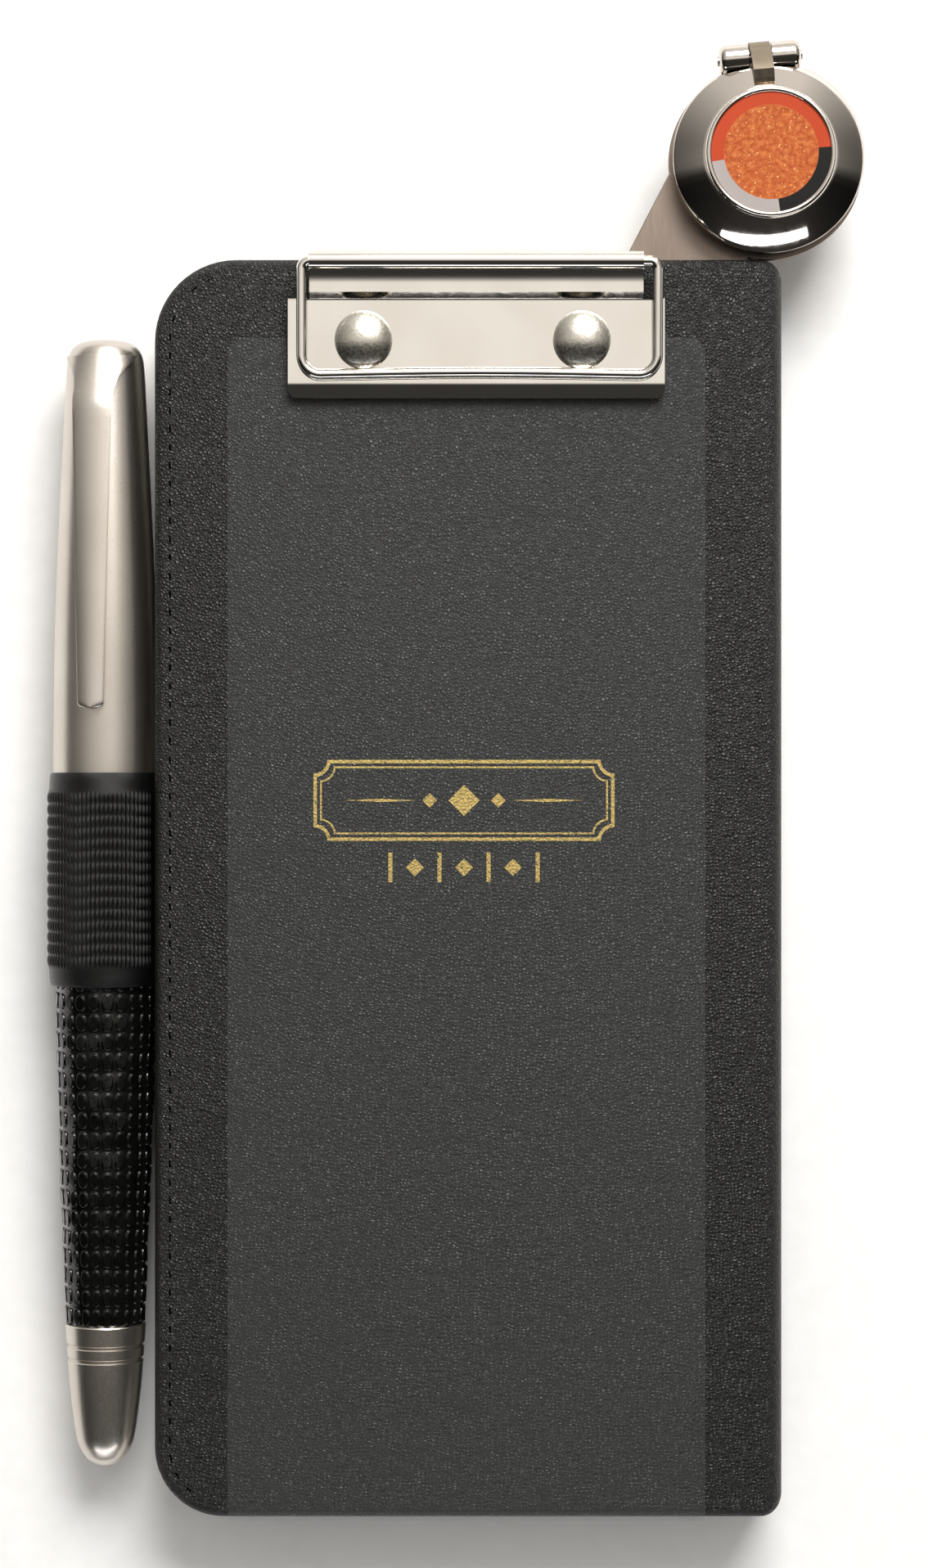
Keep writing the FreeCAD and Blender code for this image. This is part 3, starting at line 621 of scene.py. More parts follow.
# ---------------------------------------------------------------- finishes
class Shades:
    """The nodes of one material, round its Principled shader."""

    def __init__(self, name: str) -> None:
        """Starts a material that reads Object coordinates.

        Args:
            name: the material's name.
        """
        self.material = bpy.data.materials.new(name)
        self.material.use_nodes = True
        self.tree = self.material.node_tree
        self.shader = self.tree.nodes["Principled BSDF"]
        self.place = self.tree.nodes.new("ShaderNodeTexCoord").outputs["Object"]

    def feed(self, socket: Socket, value: object) -> None:
        """Links or sets one input.

        Args:
            socket: the input.
            value: another node's output, a colour or a plain value.
        """
        if isinstance(value, Socket):
            self.tree.links.new(value, socket)
        elif isinstance(value, tuple) and len(value) == 3 and socket.type == "RGBA":
            socket.default_value = (*value, 1)
        else:
            socket.default_value = value

    def add(self, kind: str, settings: dict | None = None, **sockets: object) -> bpy.types.Node:
        """Adds a node.

        Args:
            kind: the node type without its ShaderNode prefix.
            settings: the node's own options by name.
            sockets: inputs by name, with _ for a space.

        Returns:
            The new node.
        """
        node = self.tree.nodes.new("ShaderNode" + kind)
        for key, value in (settings or {}).items():
            setattr(node, key, value)
        for key, value in sockets.items():
            self.feed(node.inputs[key.replace("_", " ")], value)
        return node

    def stretched(self, scale: Sequence[float]) -> Socket:
        """Object coordinates stretched by three factors."""
        return self.add("Mapping", Vector=self.place, Scale=tuple(scale)).outputs["Vector"]

    def noise(self, scale: float, detail: float = 3.0, rough: float = 0.5,
              place: Socket | None = None) -> Socket:
        """Soft noise, from 0 to 1."""
        return self.add("TexNoise", Vector=place or self.place, Scale=scale, Detail=detail,
                        Roughness=rough).outputs["Fac"]

    def cells(self, scale: float, feature: str = "F1", place: Socket | None = None) -> Socket:
        """Distance inside random cells."""
        return self.add("TexVoronoi", {"feature": feature}, Vector=place or self.place,
                        Scale=scale).outputs["Distance"]

    def steps(self, value: Socket, *stops: tuple[float, Colour]) -> Socket:
        """A colour ramp over a value.

        Args:
            value: what runs along the ramp.
            stops: each position with its colour.

        Returns:
            The ramp's colour.
        """
        node = self.add("ValToRGB", Fac=value)
        ramp = node.color_ramp
        while len(ramp.elements) < len(stops):
            ramp.elements.new(1.0)
        for element, (position, colour) in zip(ramp.elements, stops):
            element.position = position
            element.color = (*colour, 1)
        return node.outputs["Color"]

    def between(self, value: Socket, low: float, high: float, start: float = 0.0, end: float = 1.0) -> Socket:
        """Maps a value's range to another one."""
        return self.add("MapRange", Value=value, From_Min=start, From_Max=end, To_Min=low,
                        To_Max=high).outputs["Result"]

    def math(self, operation: str, first: object, second: object = 0.0) -> Socket:
        """One arithmetic step.

        Args:
            operation: the kind of step.
            first: its first value.
            second: its second value.

        Returns:
            The result.
        """
        node = self.add("Math", {"operation": operation})
        self.feed(node.inputs[0], first)
        self.feed(node.inputs[1], second)
        return node.outputs["Value"]

    def blend(self, amount: object, first: object, second: object) -> Socket:
        """Mixes two colours.

        Args:
            amount: 0 for the first colour, 1 for the second.
            first: one colour.
            second: the other colour.

        Returns:
            The mixed colour.
        """
        node = self.add("Mix", {"data_type": "RGBA"})
        self.feed(node.inputs[0], amount)
        self.feed(node.inputs[6], first)
        self.feed(node.inputs[7], second)
        return node.outputs[2]

    def bump(self, height: Socket, depth: float, strength: float = 1.0,
             under: Socket | None = None) -> Socket:
        """A bump of a depth in metres, on top of another one.

        Args:
            height: the relief, from 0 to 1.
            depth: how deep a step of 1 is.
            strength: how much of it shows.
            under: the bump below it.

        Returns:
            The changed normal.
        """
        node = self.add("Bump", Height=height, Distance=depth, Strength=strength)
        if under is not None:
            self.feed(node.inputs["Normal"], under)
        return node.outputs["Normal"]

    def done(self, **sockets: object) -> Material:
        """Sets the shader's inputs by name and returns the material.

        Args:
            sockets: inputs by name, with _ for a space.

        Returns:
            The finished material.
        """
        for key, value in sockets.items():
            self.feed(self.shader.inputs[key.replace("_", " ")], value)
        return self.material


@dataclass(frozen=True)
class Finish:
    """One finish of the object. Its material is built once."""

    name: str

    def build(self) -> Material:
        """Builds the material's nodes."""
        raise NotImplementedError

    def material(self) -> Material:
        """The finish's material."""
        return bpy.data.materials.get(self.name) or self.build()


@dataclass(frozen=True)
class PebbledLeather(Finish):
    """Black leather with a fine pebble grain and soft creases."""

    top: Colour = (0.004, 0.0041, 0.0038)
    # painted shade: the colour of the hollows between pebbles
    painted_hollow_shade: Colour = (0.0008, 0.0008, 0.0007)
    pebble: float = 2500.0
    depth: float = 0.0001
    roughness: float = 0.3

    def build(self) -> Material:
        """Pebbles in warped cells, with wrinkles over them, painted shade in the hollows between pebbles and
        a painted highlight on their tops.

        Returns:
            The material.
        """
        s = Shades(self.name)
        warp = s.add("TexNoise", Vector=s.place, Scale=700.0, Detail=2.0).outputs["Color"]
        warped = s.add("VectorMath", {"operation": "MULTIPLY_ADD"})
        s.feed(warped.inputs[0], warp)
        s.feed(warped.inputs[1], (0.0005, 0.0005, 0.0005))
        s.feed(warped.inputs[2], s.place)
        pebbles = s.cells(self.pebble, "DISTANCE_TO_EDGE", warped.outputs["Vector"])
        domes = s.between(pebbles, 0.0, 1.0, 0.0, 0.42)
        wrinkles = s.noise(420.0, 5.0, 0.65)
        waves = s.noise(60.0, 2.0)
        # Colour follows the pebble relief: painted shade in the hollows, and a painted highlight of 1.25
        # times the leather's colour on the dome tops.
        bright = tuple(1.25 * c for c in self.top)
        colour = s.steps(domes, (0.0, self.painted_hollow_shade), (0.45, self.top), (1.0, bright))
        hollow_rough = s.between(domes, 0.3, 0.0)
        wrinkle_rough = s.between(wrinkles, self.roughness - 0.06, self.roughness + 0.1)
        rough = s.math("ADD", hollow_rough, wrinkle_rough)
        relief = s.bump(waves, 0.0003, 0.4)
        relief = s.bump(wrinkles, 0.0001, 0.8, relief)
        relief = s.bump(domes, self.depth, 0.9, relief)
        return s.done(Base_Color=colour, Roughness=rough, Normal=relief, Specular_IOR_Level=0.5)


@dataclass(frozen=True)
class ScaledLeather(Finish):
    """Glossy black leather over embossed scales."""

    def build(self) -> Material:
        """A polished skin with faint creases.

        Returns:
            The material.
        """
        s = Shades(self.name)
        creases = s.noise(1500.0, 4.0, 0.6)
        colour = s.steps(s.noise(500.0), (0.3, (0.0015, 0.0018, 0.0014)), (0.8, (0.004, 0.0045, 0.0035)))
        return s.done(Base_Color=colour, Roughness=s.between(creases, 0.08, 0.24),
                      Normal=s.bump(creases, 0.00005, 0.6), Coat_Weight=0.3, Coat_Roughness=0.08,
                      Specular_IOR_Level=0.35)


@dataclass(frozen=True)
class Cloth(Finish):
    """Plain woven cloth, thread or elastic."""

    dark: Colour = (0.006, 0.006, 0.007)
    light: Colour = (0.05, 0.05, 0.055)
    pitch: float = 0.00035
    roughness: float = 0.75
    sheen: float = 0.2
    gloss: float = 0.3

    def build(self) -> Material:
        """Two crossed sets of fine ribs with loose fibre.

        Returns:
            The material.
        """
        s = Shades(self.name)
        parts = s.add("SeparateXYZ", Vector=s.place)
        across = s.math("SINE", s.math("MULTIPLY", parts.outputs["X"], FULL_TURN / self.pitch))
        along = s.math("SINE", s.math("MULTIPLY", parts.outputs["Y"], FULL_TURN / self.pitch))
        weave = s.between(s.math("MULTIPLY", across, along), 0.0, 1.0, -1.0, 1.0)
        fibre = s.noise(2600.0, 4.0, 0.7)
        mixed = s.math("MULTIPLY", weave, fibre)
        colour = s.steps(mixed, (0.15, self.dark), (0.6, self.light))
        relief = s.bump(weave, 0.00008, 0.5, s.bump(fibre, 0.00005, 0.5))
        return s.done(Base_Color=colour, Roughness=self.roughness, Normal=relief, Sheen_Weight=self.sheen,
                      Sheen_Roughness=0.5, Specular_IOR_Level=self.gloss)


@dataclass(frozen=True)
class Metal(Finish):
    """Plated or turned metal with fine marks from handling."""

    colour: Colour = (0.8, 0.78, 0.74)
    shade: Colour = (0.7, 0.67, 0.62)
    roughness: float = 0.08
    uneven: float = 0.04
    marks: tuple[float, float, float] = (1.0, 1.0, 1.0)
    mark_scale: float = 900.0
    mark_depth: float = 0.000004

    def build(self) -> Material:
        """Metal whose gloss and tone change slightly over its marks.

        Returns:
            The material.
        """
        s = Shades(self.name)
        brushed = s.noise(self.mark_scale, 4.0, 0.6, s.stretched(self.marks))
        clouds = s.noise(120.0, 2.0)
        tone = s.blend(s.between(clouds, 0.0, 1.0, 0.35, 0.65), self.colour, self.shade)
        rough = s.between(brushed, self.roughness, self.roughness + self.uneven, 0.3, 0.7)
        return s.done(Base_Color=tone, Metallic=1.0, Roughness=rough,
                      Normal=s.bump(brushed, self.mark_depth, 0.5))


@dataclass(frozen=True)
class GoldFoil(Finish):
    """Hot-stamped gold foil, broken where the grain is deep."""

    gold: Colour = (1.0, 0.77, 0.27)
    ground: Colour = (0.012, 0.011, 0.010)

    def build(self) -> Material:
        """Gold flakes over bare leather.

        Returns:
            The material.
        """
        s = Shades(self.name)
        grain = s.math("MULTIPLY", s.cells(2100.0, "DISTANCE_TO_EDGE"), 2.0)
        broken = s.math("ADD", s.noise(1500.0, 4.0, 0.75), grain)
        kept = s.between(broken, 0.0, 1.0, 0.5, 0.56)
        glow = s.blend(s.noise(900.0, 2.0), self.gold, (0.85, 0.6, 0.17))
        return s.done(Base_Color=s.blend(kept, self.ground, glow), Metallic=s.between(kept, 0.0, 0.9),
                      Roughness=s.between(kept, 0.5, 0.24), Normal=s.bump(broken, 0.00003, 0.5))


@dataclass(frozen=True)
class SpeckledDisc(Finish):
    """Orange sensing paper full of fine bright crystals."""

    def build(self) -> Material:
        """Mottled orange with pale and deep grains.

        Returns:
            The material.
        """
        s = Shades(self.name)
        mottle = s.steps(s.noise(1500.0, 4.0, 0.75), (0.35, (0.34, 0.055, 0.008)), (0.5, (0.46, 0.1, 0.02)),
                         (0.65, (0.6, 0.19, 0.05)))
        grains = s.add("TexVoronoi", Vector=s.place, Scale=2600.0)
        sparks = s.between(grains.outputs["Distance"], 1.0, 0.0, 0.15, 0.3)
        chance = s.between(s.noise(3100.0, 2.0), 0.0, 1.0, 0.52, 0.62)
        bright = s.math("MULTIPLY", sparks, chance)
        colour = s.blend(bright, mottle, (0.95, 0.6, 0.25))
        return s.done(Base_Color=colour, Roughness=0.65, Normal=s.bump(s.noise(3000.0, 3.0), 0.00004, 0.6),
                      Specular_IOR_Level=0.25)


@dataclass(frozen=True)
class Moulded(Finish):
    """Printed, painted or moulded surface of one colour with a fine tooth."""

    colour: Colour = (0.02, 0.02, 0.02)
    roughness: float = 0.45
    tooth: float = 2500.0
    gloss: float = 0.5

    def build(self) -> Material:
        """One colour, slightly cloudy, with a fine tooth.

        Returns:
            The material.
        """
        s = Shades(self.name)
        fine = s.noise(self.tooth, 3.0, 0.6)
        lighter = tuple(min(1.0, 1.12 * c + 0.004) for c in self.colour)
        colour = s.blend(s.noise(350.0, 3.0), self.colour, lighter)
        rough = s.between(fine, self.roughness - 0.06, self.roughness + 0.08)
        return s.done(Base_Color=colour, Roughness=rough, Normal=s.bump(fine, 0.00001, 0.5),
                      Specular_IOR_Level=self.gloss)


@dataclass(frozen=True)
class RuledPaper(Finish):
    """Off-white paper with thin grey-blue columns and rows."""

    paper: Colour = (0.82, 0.8, 0.73)
    rule: Colour = (0.35, 0.42, 0.5)
    row: float = 0.006
    column: float = 0.0115
    line_w: float = 0.00018

    def ruled(self, s: Shades, place: Socket, pitch: float) -> Socket:
        """1 on thin lines a pitch apart, and 0 elsewhere.

        Args:
            s: the material's nodes.
            place: the coordinate across the lines.
            pitch: how far apart they are.

        Returns:
            The lines.
        """
        wave = s.math("PINGPONG", place, pitch / 2)
        return s.math("LESS_THAN", wave, self.line_w / 2)

    def build(self) -> Material:
        """Fibrous paper with lines both ways.

        Returns:
            The material.
        """
        s = Shades(self.name)
        parts = s.add("SeparateXYZ", Vector=s.place)
        lines = s.math("MAXIMUM", self.ruled(s, parts.outputs["X"], self.column),
                       self.ruled(s, parts.outputs["Y"], self.row))
        fibre = s.noise(1800.0, 5.0, 0.7)
        ground = s.blend(fibre, self.paper, tuple(0.93 * c for c in self.paper))
        colour = s.blend(s.math("MULTIPLY", lines, 0.75), ground, self.rule)
        return s.done(Base_Color=colour, Roughness=0.85, Normal=s.bump(fibre, 0.00002, 0.5))


@dataclass(frozen=True)
class ClearSheeting(Finish):
    """Thin clear plastic: see-through, with a glossy film and a faint haze."""

    haze: float = 0.0012
    gloss: float = 0.07
    edge_share: float = 0.4
    most_edge: float = 0.1

    def build(self) -> Material:
        """Clear film whose gloss grows a little towards grazing views, up to a limit.

        Returns:
            The material.
        """
        s = Shades(self.name)
        clouds = s.noise(45.0, 3.0)
        s.done(Base_Color=(0.8, 0.8, 0.78), Roughness=s.between(clouds, self.gloss, self.gloss + 0.08),
               IOR=1.5, Normal=s.bump(clouds, 0.0003, 0.3))
        clear = s.add("BsdfTransparent", Color=(0.975, 0.98, 0.985))
        edge = s.add("Fresnel", IOR=1.45).outputs["Fac"]
        held = s.math("MINIMUM", edge, self.most_edge)
        mist = s.between(clouds, 0.6 * self.haze, 1.4 * self.haze)
        share = s.math("ADD", s.math("MULTIPLY", held, self.edge_share), mist)
        film = s.add("MixShader", Fac=share)
        s.feed(film.inputs[1], clear.outputs["BSDF"])
        s.feed(film.inputs[2], s.shader.outputs["BSDF"])
        s.feed(s.tree.nodes["Material Output"].inputs["Surface"], film.outputs["Shader"])
        return s.material


LEATHER = PebbledLeather("pebbled_leather")
SCALES = ScaledLeather("scaled_leather")
THREAD = Cloth("waxed_thread", (0.002, 0.002, 0.002), (0.014, 0.014, 0.015), 0.0003, 0.22, 0.0, 0.6)
LINING = Cloth("woven_lining", (0.02, 0.02, 0.022), (0.07, 0.07, 0.075), 0.0005, 0.85, 0.1)
ELASTIC = Cloth("ribbed_elastic", (0.0008, 0.0008, 0.0008), (0.008, 0.008, 0.0082), 0.00028, 0.27, 0.0, 0.35)
FOIL = GoldFoil("gold_foil")
NICKEL = Metal("bright_nickel", (0.80, 0.775, 0.73), (0.76, 0.73, 0.68), 0.045, 0.05)
HAMMERED = Metal("pressed_nickel", (0.72, 0.69, 0.62), (0.62, 0.59, 0.52), 0.2, 0.14, (1, 1, 1), 2600.0,
                 0.00004)
CHROME = Metal("polished_chrome", (0.70, 0.65, 0.60), (0.66, 0.61, 0.56), 0.04, 0.04)
TAG_STEEL = Metal("satin_steel", (0.27, 0.22, 0.185), (0.24, 0.195, 0.165), 0.3, 0.08, (1, 0.1, 1), 3000.0)
DULL_STEEL = Metal("dull_steel", (0.32, 0.265, 0.20), (0.27, 0.225, 0.17), 0.34, 0.1)
SATIN = Metal("satin_cap", (0.68, 0.63, 0.575), (0.64, 0.59, 0.53), 0.27, 0.08, (1, 1, 1), 4200.0, 0.000006)
TURNED = Metal("turned_aluminium", (0.6, 0.6, 0.6), (0.55, 0.55, 0.55), 0.25, 0.1, (0.05, 1, 0.05), 5000.0)
BRASS = Metal("drawn_brass", (0.78, 0.58, 0.27), (0.7, 0.5, 0.22), 0.2, 0.1)
STEEL_WIRE = Metal("steel_wire", (0.62, 0.62, 0.62), (0.55, 0.55, 0.55), 0.15, 0.1)
DISC = SpeckledDisc("crystal_paper")
ORANGE = Moulded("printed_orange", (0.44, 0.045, 0.008), 0.5, 2500.0, 0.2)
BLACK = Moulded("printed_black", (0.004, 0.004, 0.0035), 0.4, 2500.0, 0.15)
GREY = Moulded("printed_grey", (0.36, 0.32, 0.31), 0.5, 2500.0, 0.2)
PLASTIC = Moulded("black_plastic", (0.014, 0.014, 0.015), 0.3)
BOARD = Moulded("grey_board", (0.3, 0.27, 0.22), 0.9, 900.0)
CARD = Moulded("dark_card", (0.05, 0.055, 0.07), 0.7, 1400.0)
PAPER = RuledPaper("ruled_paper")
SHEETING = ClearSheeting("clear_sheeting")


# ---------------------------------------------------------------- sub-assemblies
def dress(node: str, finish: Finish) -> None:
    """Gives a CAD node its finish.

    Args:
        node: the CAD node's name.
        finish: what covers it.
    """
    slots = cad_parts[node].data.materials
    slots.clear()
    slots.append(finish.material())
    log.info("dressed %s in %s", node, finish.name)


def fit(piece: Object, body: str, slot: str, finish: Finish, *nodes: str) -> Object:
    """Hands a finished piece to the frame.

    Args:
        piece: the finished object.
        body: the CAD body it moves with.
        slot: not used.
        finish: what covers it.
        nodes: the CAD nodes it stands for.

    Returns:
        The same object.
    """
    piece.data.materials.clear()
    piece.data.materials.append(finish.material())
    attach(piece, body)
    if nodes:
        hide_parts(*nodes)
    log.info("made %s: %d faces, on %s", piece.name, len(piece.data.polygons), body)
    return piece


@dataclass(frozen=True)
class Extent:
    """The box of one CAD node."""

    low: Vector
    high: Vector

    @classmethod
    def of(cls, node: str) -> "Extent":
        """Reads a node's box from the frame."""
        return cls(*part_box(node))

    @property
    def middle(self) -> Vector:
        """The box's centre."""
        return (self.low + self.high) / 2

    @property
    def size(self) -> Vector:
        """The box's three sides."""
        return self.high - self.low


@dataclass
class Covers:
    """Leather, stitching, boards and linings of both covers and the flat spine."""

    leather_t: float = 0.0006
    top_corner_r: float = 0.010
    bottom_corner_r: float = 0.0085
    spine_corner_r: float = 0.0028
    rim_r: float = 0.0012
    bend_cuts: int = 9
    seam_inset: float = 0.00195
    seam_half: float = 0.00055
    seam_depth: float = 0.0005
    pad_drop: float = 0.00012
    stitch_pitch: float = 0.00225
    stitch_share: float = 0.72
    thread_w: float = 0.0005
    thread_t: float = 0.0004
    thread_round: float = 0.28
    slant: float = 5.0
    under_reach: float = 0.0012
    spine_hold: tuple[float, float] = (0.0022, 0.0004)
    cover_hold: tuple[float, float] = (0.0010, 0.0016)
    cover: Extent = field(default_factory=lambda: Extent.of("front_leather"))

    def __post_init__(self) -> None:
        """Works out the middle of the book and the line where the cover bends."""
        self.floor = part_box("back_leather")[0].z
        self.middle = (self.floor + self.cover.high.z) / 2
        self.thick = self.cover.size.z
        self.bend_x = self.cover.high.x - self.thick
        self.flip = Matrix.Translation((0, 0, 2 * self.middle)) @ Matrix.Scale(-1, 4, Z)

    def bend_z(self, x: float) -> float:
        """Height of the cover's outer face over its rounded bend."""
        over = min(self.thick, max(0.0, x - self.bend_x))
        return self.cover.low.z + math.sqrt(self.thick ** 2 - over ** 2)

    def seated(self, point: Vector) -> Vector:
        """Lays a point of the upper half on the rounded bend."""
        share = (self.bend_z(point.x) - self.middle) / self.thick_over_middle
        return Vector((point.x, point.y, self.middle + (point.z - self.middle) * share))

    @property
    def thick_over_middle(self) -> float:
        """Height of the flat cover over the book's middle."""
        return self.cover.high.z - self.middle

    def skin(self, name: str) -> Object:
        """The front half of the leather: cover, rounded bend and half the spine, with its seam pressed in.

        Args:
            name: the piece's name.

        Returns:
            The leather, with its thickness.
        """
        low, high = self.cover.low, self.cover.high
        piece = block(name, (low.x, low.y, self.middle), high)
        corners = ((low.x, 1, self.top_corner_r), (low.x, -1, self.bottom_corner_r),
                   (high.x, 1, self.spine_corner_r), (high.x, -1, self.spine_corner_r))
        with editing(piece):
            for x, side, radius in corners:
                pick(Element.EDGE, lambda p, way: abs(way.z) > 0.9 and near(p.x, x)
                     and near(p.y, side * high.y))
                bevel(radius, 14)
            pick(Element.FACE, lambda p, n: n.z > 0.9)
            bpy.ops.mesh.region_to_loop()
            bevel(self.rim_r, 5)
            to_seam = self.seam_inset - self.rim_r - self.seam_half
            for inset in (to_seam, self.seam_half, self.seam_half, self.rim_r):
                pick(Element.FACE, lambda p, n: n.z > 0.99 and abs(p.x) < self.rim_r
                     and abs(p.y) < self.rim_r)
                bpy.ops.mesh.inset(thickness=inset, depth=0)
            self.press_seam()
            for step in range(1, self.bend_cuts + 1):
                turn = math.radians(90 * step / (self.bend_cuts + 1))
                slice_at((self.bend_x + self.thick * math.sin(turn), 0, 0), X)
            pick(Element.FACE, lambda p, n: n.z < -0.9 and near(p.z, self.middle))
            bpy.ops.mesh.delete(type="FACE")
        reshape(piece, self.seated)
        with editing(piece):
            for place, way in (((0, 0, self.cover.low.z), Z), ((self.bend_x + self.under_reach, 0, 0), X)):
                slice_at(place, way)
            pick(Element.FACE, lambda p, n: p.z < self.cover.low.z and p.x < self.bend_x + self.under_reach)
            bpy.ops.mesh.delete(type="FACE")
        work(piece, "SOLIDIFY", thickness=self.leather_t, offset=-1, use_even_offset=True)
        return smoothed(piece, 40)

    def press_seam(self) -> None:
        """Presses the stitched line into the three open edges and lets the leather inside it rise again."""
        line = self.seam_inset
        for inset, drop in ((line, self.seam_depth), (line + self.seam_half, self.pad_drop)):
            pick(Element.VERT, lambda p, n: near(p.z, self.cover.high.z) and self.is_inset(p, inset))
            bpy.ops.transform.translate(value=(0, 0, -drop))

    def is_inset(self, point: Vector, inset: float) -> bool:
        """True for a point of the top face that lies an inset inside one of the three open edges.

        Args:
            point: a point of the top face.
            inset: how far inside the edge.

        Returns:
            Whether it lies on that line.
        """
        low, high = self.cover.low, self.cover.high
        top, bottom = near(point.y, high.y - inset), near(point.y, low.y + inset)
        left = near(point.x, low.x + inset)
        for side, radius in ((1, self.top_corner_r), (-1, self.bottom_corner_r)):
            centre = Vector((low.x + radius, side * (high.y - radius), point.z))
            corner = point.x < centre.x + HAIR and side * point.y > side * centre.y - HAIR
            if corner and near((point - centre).length, radius - inset, 5 * HAIR):
                return True
        return top or bottom or (left and abs(point.y) < high.y - self.bottom_corner_r + HAIR)

    def seam_line(self) -> Chain:
        """Line of the stitches in plan: top edge, opening edge and bottom edge.

        Returns:
            The seam's points.
        """
        low, high, inset = self.cover.low, self.cover.high, self.seam_inset
        top, bottom, left, end = high.y - inset, low.y + inset, low.x + inset, self.bend_x - 2 * inset
        level = high.z
        return rounded([Vector((end, top, level)), Vector((left, top, level)), Vector((left, bottom, level)),
                        Vector((end, bottom, level))],
                       (self.top_corner_r - inset, self.bottom_corner_r - inset), 16)

    def bend_line(self, side: int) -> Chain:
        """Line of the stitches over the rounded bend, at one end of the spine.

        Args:
            side: 1 for the top end of the spine, -1 for the bottom.

        Returns:
            The line's points.
        """
        y = side * (self.cover.high.y - self.seam_inset)
        start = Vector((self.bend_x - 2 * self.seam_inset, y, self.cover.high.z))
        centre = Vector((self.bend_x, y, self.cover.low.z))
        return [start] + arc_points(centre, self.thick, 90, 12, 14, X, Z)

    def stitch(self) -> Object:
        """One stitch at the origin: a short rounded thread that dips at both ends.

        Returns:
            The stitch.
        """
        half = self.stitch_pitch * self.stitch_share / 2
        piece = block("stitch", (-half, -self.thread_w / 2, -self.thread_t), (half, self.thread_w / 2, 0))
        with editing(piece):
            slice_at((-half / 2, 0, 0), X)
            slice_at((half / 2, 0, 0), X)
            pick(Element.VERT, lambda p, n: near(abs(p.x), half) and near(p.z, 0))
            bpy.ops.transform.translate(value=(0, 0, -self.thread_t / 2))
            pick(Element.EDGE, lambda p, way: abs(way.x) > 0.7)
            bevel(self.thread_w * self.thread_round, 2)
        return smoothed(piece, 60)

    def stitched(self, name: str, line: Chain, rise: float) -> Object:
        """A row of stitches along a line.

        Args:
            name: the row's name.
            line: the seam's points.
            rise: how far the thread's top stands over the line.

        Returns:
            The joined stitches.
        """
        total = sum((b - a).length for a, b in zip(line, line[1:]))
        places = []
        for point, way in stations(line, round(total / self.stitch_pitch), self.stitch_share / 2):
            side = Vector((0, 1, 0)) if abs(way.z) > HAIR else Z.cross(way)
            up = way.cross(side) if abs(way.z) > HAIR else Z
            turned = Matrix((way, side, up)).transposed() @ Matrix.Rotation(math.radians(self.slant), 3, "Z")
            places.append(Matrix.Translation(point + up * rise) @ turned.to_4x4())
        return repeated(name, self.stitch(), places)

    def make(self) -> None:
        """Makes both covers."""
        skin = self.skin("front_cover_leather")
        back = copied(skin, "back_cover_leather", self.flip)
        seam = self.stitched("front_stitches", self.seam_line(), 0.0)
        over = join("front_spine_stitches",
                    [self.stitched("over_bend", self.bend_line(side), 0.0) for side in (1, -1)])
        for piece in (skin, over):
            self.across_bend(piece, "front_cover")
        for piece in (back, copied(over, "back_spine_stitches", self.flip)):
            self.across_bend(piece, "back_cover")
        fit(copied(seam, "back_stitches", self.flip), "back_cover", "thread", THREAD, "back_thread")
        fit(seam, "front_cover", "thread", THREAD, "front_thread")
        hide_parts("front_leather", "spine_leather")
        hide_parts("back_leather")
        for cover in ("back", "front", "spine"):
            dress(cover + "_board", BOARD)
            dress(cover + "_lining", LINING)

    def across_bend(self, piece: Object, cover: str) -> None:
        """Dresses a piece that bends between a cover and the spine.

        Args:
            piece: the leather or its stitches.
            cover: the cover's body.
        """
        leather = piece.name.endswith("leather")
        piece.data.materials.clear()
        piece.data.materials.append((LEATHER if leather else THREAD).material())
        if cover == "front_cover":
            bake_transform(piece)
        else:
            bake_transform(piece)
        log.info("made %s: %d faces, from %s to spine", piece.name, len(piece.data.polygons), cover)


